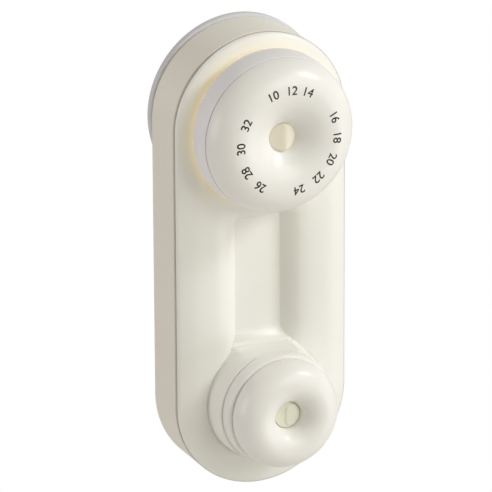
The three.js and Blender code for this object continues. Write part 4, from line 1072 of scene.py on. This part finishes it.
# %% Dial ring and cap
ROLL_R, ROLL, ROLL_AT = 23.6, 13.0, 18.2  # radius of the crest, radius of the roll, its centre's depth
CAP_T = 2.2
CAP_CREST = SEAM + ROLL_AT + ROLL
PIT = PIT_BACK + 0.5
DISC_R = PIT_R - 0.5
DIMPLE_POWER = 2.1
RING_T = 2.1
DIAL_TAPER = 0.3


def dial_ring_profile():
    inner = RING_R - DIAL_TAPER - RING_T
    front = RING_R - 2.4 * DIAL_TAPER
    return [(inner, RING_BACK), (RING_R - 0.4, RING_BACK), (RING_R - 0.12, RING_BACK + 0.12),
            (RING_R, RING_BACK + 0.4), (front, RING_FRONT - 0.2), (front - 0.2, RING_FRONT),
            (inner, RING_FRONT)]


def cap_depth(r):
    """Depth of the cap's face at a radius: the arc outside the crest, the dimple inside it."""
    if r >= ROLL_R:
        return SEAM + ROLL_AT + math.sqrt(ROLL**2 - (r - ROLL_R)**2)
    share = (ROLL_R - r) / (ROLL_R - DISC_R)
    return CAP_CREST - (CAP_CREST - PIT) * share**DIMPLE_POWER


def dial_cap_profile():
    """The face from the axis outwards, the rim, and the hollow inside back to the axis."""
    centre = (ROLL_R, SEAM + ROLL_AT)
    foot = math.degrees(math.asin((CAP_BACK + 0.35 - centre[1]) / ROLL))
    dimple = [(r, cap_depth(r)) for r in np.linspace(DISC_R, ROLL_R - 0.2, 56)]
    outside = [(0.0, PIT)] + dimple + arc(centre, ROLL, 90, foot, 44)
    rim = outside[-1][0]
    inside = arc(centre, ROLL - CAP_T, 12, 150, 16)
    return outside + [(rim - 0.1, CAP_BACK + 0.1), (rim - 0.35, CAP_BACK)] + inside + [(0.0, PIT - CAP_T)]


dial_ring = mesh_object("dial_ring_skin", *turned(dial_ring_profile(), DIAL_Z), RING_ABS)
finish_piece(dial_ring, "dial", ["dial_ring"])
dial_cap = mesh_object("dial_cap_skin", *turned(dial_cap_profile(), DIAL_Z, 256), CAP_ABS)
finish_piece(dial_cap, "dial", ["dial_cap"])

# %% [markdown]
# ## The disc in the dial's dimple
# The small beige disc has a low upright ridge, lit on its right side and shaded on its left. A turned
# profile can't give that, and two planes would meet too sharply. So the disc is made of rings whose
# depth is a rule of its own: two shallow faces, blended where they meet.

# %% Dial centre
RIDGE_X, RIDGE_RISE = 1.2, 2.0
LEFT_SLOPE, RIGHT_SLOPE, BOW = 0.24, 0.28, 0.006
RIDGE_FLAT, RIDGE_BLEND = 0.2, 0.4


def soft_max(a, b, blend):
    return -soft_min(-a, -b, blend)


def relief_disc(centre_z, radius, edge, height, behind, sides=96):
    """A round face whose depth is a rule of x and z, with a rolled edge and rings behind it."""
    angles = np.linspace(0, 2 * math.pi, sides, endpoint=False)
    flat = [(r, 0.0) for r in np.linspace(0.02, 1, 40) * (radius - edge)]
    roll = [(radius - edge + edge * math.sin(a), edge * (math.cos(a) - 1))
            for a in np.radians(range(15, 91, 15))]
    rings = []
    for r, drop in flat + roll:
        ring = [(r * math.cos(a), r * math.sin(a)) for a in angles]
        rings.append([(x, -(height(x, z) + drop), centre_z + z) for x, z in ring])
    for r, depth in behind:
        rings.append([(r * math.cos(a), -depth, centre_z + r * math.sin(a)) for a in angles])
    return joined_rings(rings)


def centre_height(x, z):
    """Two shallow faces that meet in an upright ridge to the right of the middle."""
    fall = LEFT_SLOPE * max(RIDGE_X - x, 0) + RIGHT_SLOPE * max(x - RIDGE_X, 0) + BOW * z * z
    return PIT + RIDGE_RISE - float(soft_max(fall, RIDGE_FLAT, RIDGE_BLEND))


centre_disc = relief_disc(DIAL_Z, DISC_R - 0.1, 0.4, centre_height, [(DISC_R - 0.1, PIT - 0.4)])
dial_centre = mesh_object("dial_centre_skin", *centre_disc, DISC_ABS)
finish_piece(dial_centre, "dial", ["dial_centre_cap"])


# %% [markdown]
# ## Numbers on the dial
# The dial's marks are printed by a soft pad on the crest of the roll, with their tops outward. They
# stand here as plain temperatures from 10 to 32 degrees. A picture of them would blur up close, so
# each is a text curve turned into a very thin solid. Its outline is moved out a little, as ink spreads
# under the pad: the curve's own offset would do that too, but it closes the small hole of a 4.

# %% Flat numbers
NUMBER_HEIGHT = 4.0
DIGIT_SHARE = 0.7  # height of a digit, as a share of the font's size
INK = 0.03
INK_SPREAD = 0.09
LONGEST_EDGE, CUT_ROUNDS = 0.6, 4


def spread_ink(work):
    """Moves every point of the outline outwards, along the side faces that meet in it."""
    steps = []
    for vert in work.verts:
        sides = [face.normal for face in vert.link_faces if abs(face.normal.z) < 0.5]
        steps.append(sum(sides, Vector()).normalized() * INK_SPREAD)
    for vert, step in zip(work.verts, steps):
        vert.co += step


def flat_number(text):
    """A text curve as a mesh in millimetres, cut finely enough to follow the cap's roll."""
    curve = bpy.data.curves.new("number", "FONT")
    curve.body = text
    curve.size = NUMBER_HEIGHT / DIGIT_SHARE
    curve.align_x = "CENTER"
    curve.align_y = "CENTER"
    curve.extrude = INK / 2
    obj = bpy.data.objects.new("number", curve)
    bpy.context.scene.collection.objects.link(obj)
    mesh = bpy.data.meshes.new_from_object(obj.evaluated_get(bpy.context.evaluated_depsgraph_get()))
    bpy.data.objects.remove(obj)
    work = bmesh.new()
    work.from_mesh(mesh)
    bmesh.ops.remove_doubles(work, verts=work.verts, dist=1e-4)
    bmesh.ops.triangulate(work, faces=work.faces)
    bmesh.ops.recalc_face_normals(work, faces=work.faces)
    spread_ink(work)
    for _ in range(CUT_ROUNDS):
        long_edges = [edge for edge in work.edges if edge.calc_length() > LONGEST_EDGE]
        bmesh.ops.subdivide_edges(work, edges=long_edges, cuts=1)
        bmesh.ops.triangulate(work, faces=work.faces)
    work.verts.index_update()
    verts = [tuple(v.co) for v in work.verts]
    faces = [tuple(v.index for v in face.verts) for face in work.faces]
    work.free()
    return verts, faces


print(f"digits {NUMBER_HEIGHT} mm high and {INK} mm thick")

# %% [markdown]
# A flat number is then laid on the cap: its width runs along the circle, its height outwards, and its
# depth follows the same rule as the cap's face. Shrinkwrap would need the cap's mesh and would bend
# the edges unevenly, while the rule puts each point exactly where the pad would press it.

# %% Numbers laid on the cap
NUMBER_R = 23.9
# degrees clockwise from the top, where the three groups of marks lie
NUMBER_ANGLES = (-19.5, 3, 22.6, 69.4, 93.5, 118.7, 143, 168.5, 217.6, 241.8, 270.5, 297.5)
LOWEST, STEP = 10, 2


def laid_on_cap(verts, angle):
    """Points (along, outward, lift) of a flat number at an angle clockwise from the top."""
    placed = []
    for along, outward, lift in verts:
        r = NUMBER_R + outward
        a = math.radians(angle) + along / NUMBER_R
        depth = cap_depth(r) + lift + INK / 2
        placed.append((r * math.sin(a), -depth, DIAL_Z + r * math.cos(a)))
    return placed


numbers = []
for i, angle in enumerate(NUMBER_ANGLES):
    verts, faces = flat_number(str(LOWEST + STEP * i))
    numbers.append((laid_on_cap(verts, angle), faces))
finish_piece(mesh_object("dial_numbers", *joined(*numbers), NUMBER_INK), "dial")


# %% [markdown]
# ## The mode knob
# The knob repeats the dial at two thirds of its size: a long ring with a small roll at its front, and
# a cap that is one full roll round a deep throat. A copy of the dial, scaled down, would have the
# wrong walls and gaps, so both pieces are turned from profiles of their own.

# %% Knob ring and cap
KNOB_ROLL_R, KNOB_ROLL, KNOB_ROLL_AT = 16.0, 9.7, 26.19
KNOB_SHELL = 2.0
KNOB_RING_T = 3.0
THROAT_BACK = KNOB_CAP_BACK + 3


def knob_ring_profile():
    inner = KNOB_R - KNOB_RING_T
    return [(inner, KNOB_BACK), (KNOB_R - 0.5, KNOB_BACK), (KNOB_R - 0.14, KNOB_BACK + 0.14),
            (KNOB_R, KNOB_BACK + 0.5), (KNOB_R - 0.4, KNOB_FRONT - 1.1), (KNOB_R - 0.62, KNOB_FRONT - 0.5),
            (KNOB_R - 1.0, KNOB_FRONT - 0.13), (KNOB_R - 1.5, KNOB_FRONT), (inner, KNOB_FRONT)]


def knob_cap_profile():
    """The throat, the roll from there over the crest to the rim, and the hollow inside."""
    centre = (KNOB_ROLL_R, SEAM + KNOB_ROLL_AT)
    throat = KNOB_ROLL_R - KNOB_ROLL
    foot = KNOB_FRONT + GAP
    end = math.degrees(math.asin((foot + 0.4 - centre[1]) / KNOB_ROLL))
    outside = arc(centre, KNOB_ROLL, 180, end, 84)
    rim = outside[-1][0]
    inside = arc(centre, KNOB_ROLL - KNOB_SHELL, -15, 170, 20)
    return ([(throat, THROAT_BACK)] + outside + [(rim - 0.15, foot + 0.1), (rim - 0.5, foot)] + inside
            + [(throat + KNOB_SHELL, THROAT_BACK)])


knob_ring = mesh_object("knob_ring_skin", *turned(knob_ring_profile(), KNOB_Z), CAP_ABS)
finish_piece(knob_ring, "knob", ["knob_ring"])
knob_cap = mesh_object("knob_cap_skin", *turned(knob_cap_profile(), KNOB_Z, 256), CAP_ABS)
finish_piece(knob_cap, "knob", ["knob_cap"])

# %% [markdown]
# ## The push button
# The button fills the throat. Its face carries an upright oval pad to the right of the middle, with a
# tiny nick near the top. The pad could be a piece of its own set on the face, but a moulded pad grows
# out of it softly. So it is a rule of height again: the distance to a short upright line, eased over
# about a millimetre. The rings behind the face are its skirt and its stem.

# %% Push button
BUTTON_FACE_R = 6.3
FACE_EDGE = 0.5
FACE_SET, FACE_DOME = 0.6, 0.012
PAD_X, PAD_HALF_LINE, PAD_OVAL_R, PAD_RISE, PAD_EASE = 1.5, 2.2, 2.9, 0.7, 1.1
NICK_Z, NICK_DEEP, NICK_HALF_WIDE, NICK_HALF_HIGH = 3.6, 0.18, 0.9, 0.35
SKIRT, BUTTON_T, STEM_R, STEM_EDGE = 1.9, 2.4, 2.6, 0.5


def button_height(x, z):
    """A low dome, the oval pad on it, and the nick in the pad."""
    base = BUTTON_FRONT - FACE_SET - FACE_DOME * (x * x + z * z)
    away = math.hypot(x - PAD_X, max(abs(z) - PAD_HALF_LINE, 0)) - PAD_OVAL_R
    share = min(max(0.5 - away / PAD_EASE, 0), 1)
    nick = math.exp(-((x - PAD_X) / NICK_HALF_WIDE)**2 - ((z - NICK_Z) / NICK_HALF_HIGH)**2)
    return base + PAD_RISE * share * share * (3 - 2 * share) - NICK_DEEP * nick


button_back = BUTTON_FRONT - BUTTON_T
behind = [(BUTTON_FACE_R, BUTTON_FRONT - SKIRT), (BUTTON_R, button_back), (STEM_R, button_back),
          (STEM_R, BUTTON_END + STEM_EDGE), (STEM_R - STEM_EDGE, BUTTON_END)]
button_disc = relief_disc(KNOB_Z, BUTTON_FACE_R, FACE_EDGE, button_height, behind)
button = mesh_object("button_skin", *button_disc, BUTTON_ABS)
finish_piece(button, "button", ["push_button"])


# %% [markdown]
# ## The button's spring
# A coil of steel wire behind the face pushes the button back. A curve with a bevel would do, but the
# rings along a helix are as short to write. The coil's foot rests on the knob's hub.

# %% Spring
_, _, SPRING_FOOT, SPRING_TOP = span("button_spring")
COIL_R, WIRE_R, COIL_TURNS, STEPS_PER_TURN = 4.05, 0.42, 3, 28


def coil_rings():
    """A ring of ten points round the wire at every step along the helix."""
    rings = []
    for share in np.linspace(0, 1, COIL_TURNS * STEPS_PER_TURN + 1):
        turn = 2 * math.pi * COIL_TURNS * share
        depth = SPRING_FOOT + WIRE_R + (SPRING_TOP - SPRING_FOOT - 2 * WIRE_R) * share
        section = [(COIL_R + WIRE_R * math.cos(a), depth + WIRE_R * math.sin(a))
                   for a in np.radians(range(0, 360, 36))]
        rings.append([(r * math.cos(turn), -d, KNOB_Z + r * math.sin(turn)) for r, d in section])
    return rings


coil = mesh_object("spring_coil", *joined_rings(coil_rings()), ZINC_STEEL)
spring = finish_piece(coil, "knob", ["button_spring"])
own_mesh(spring)
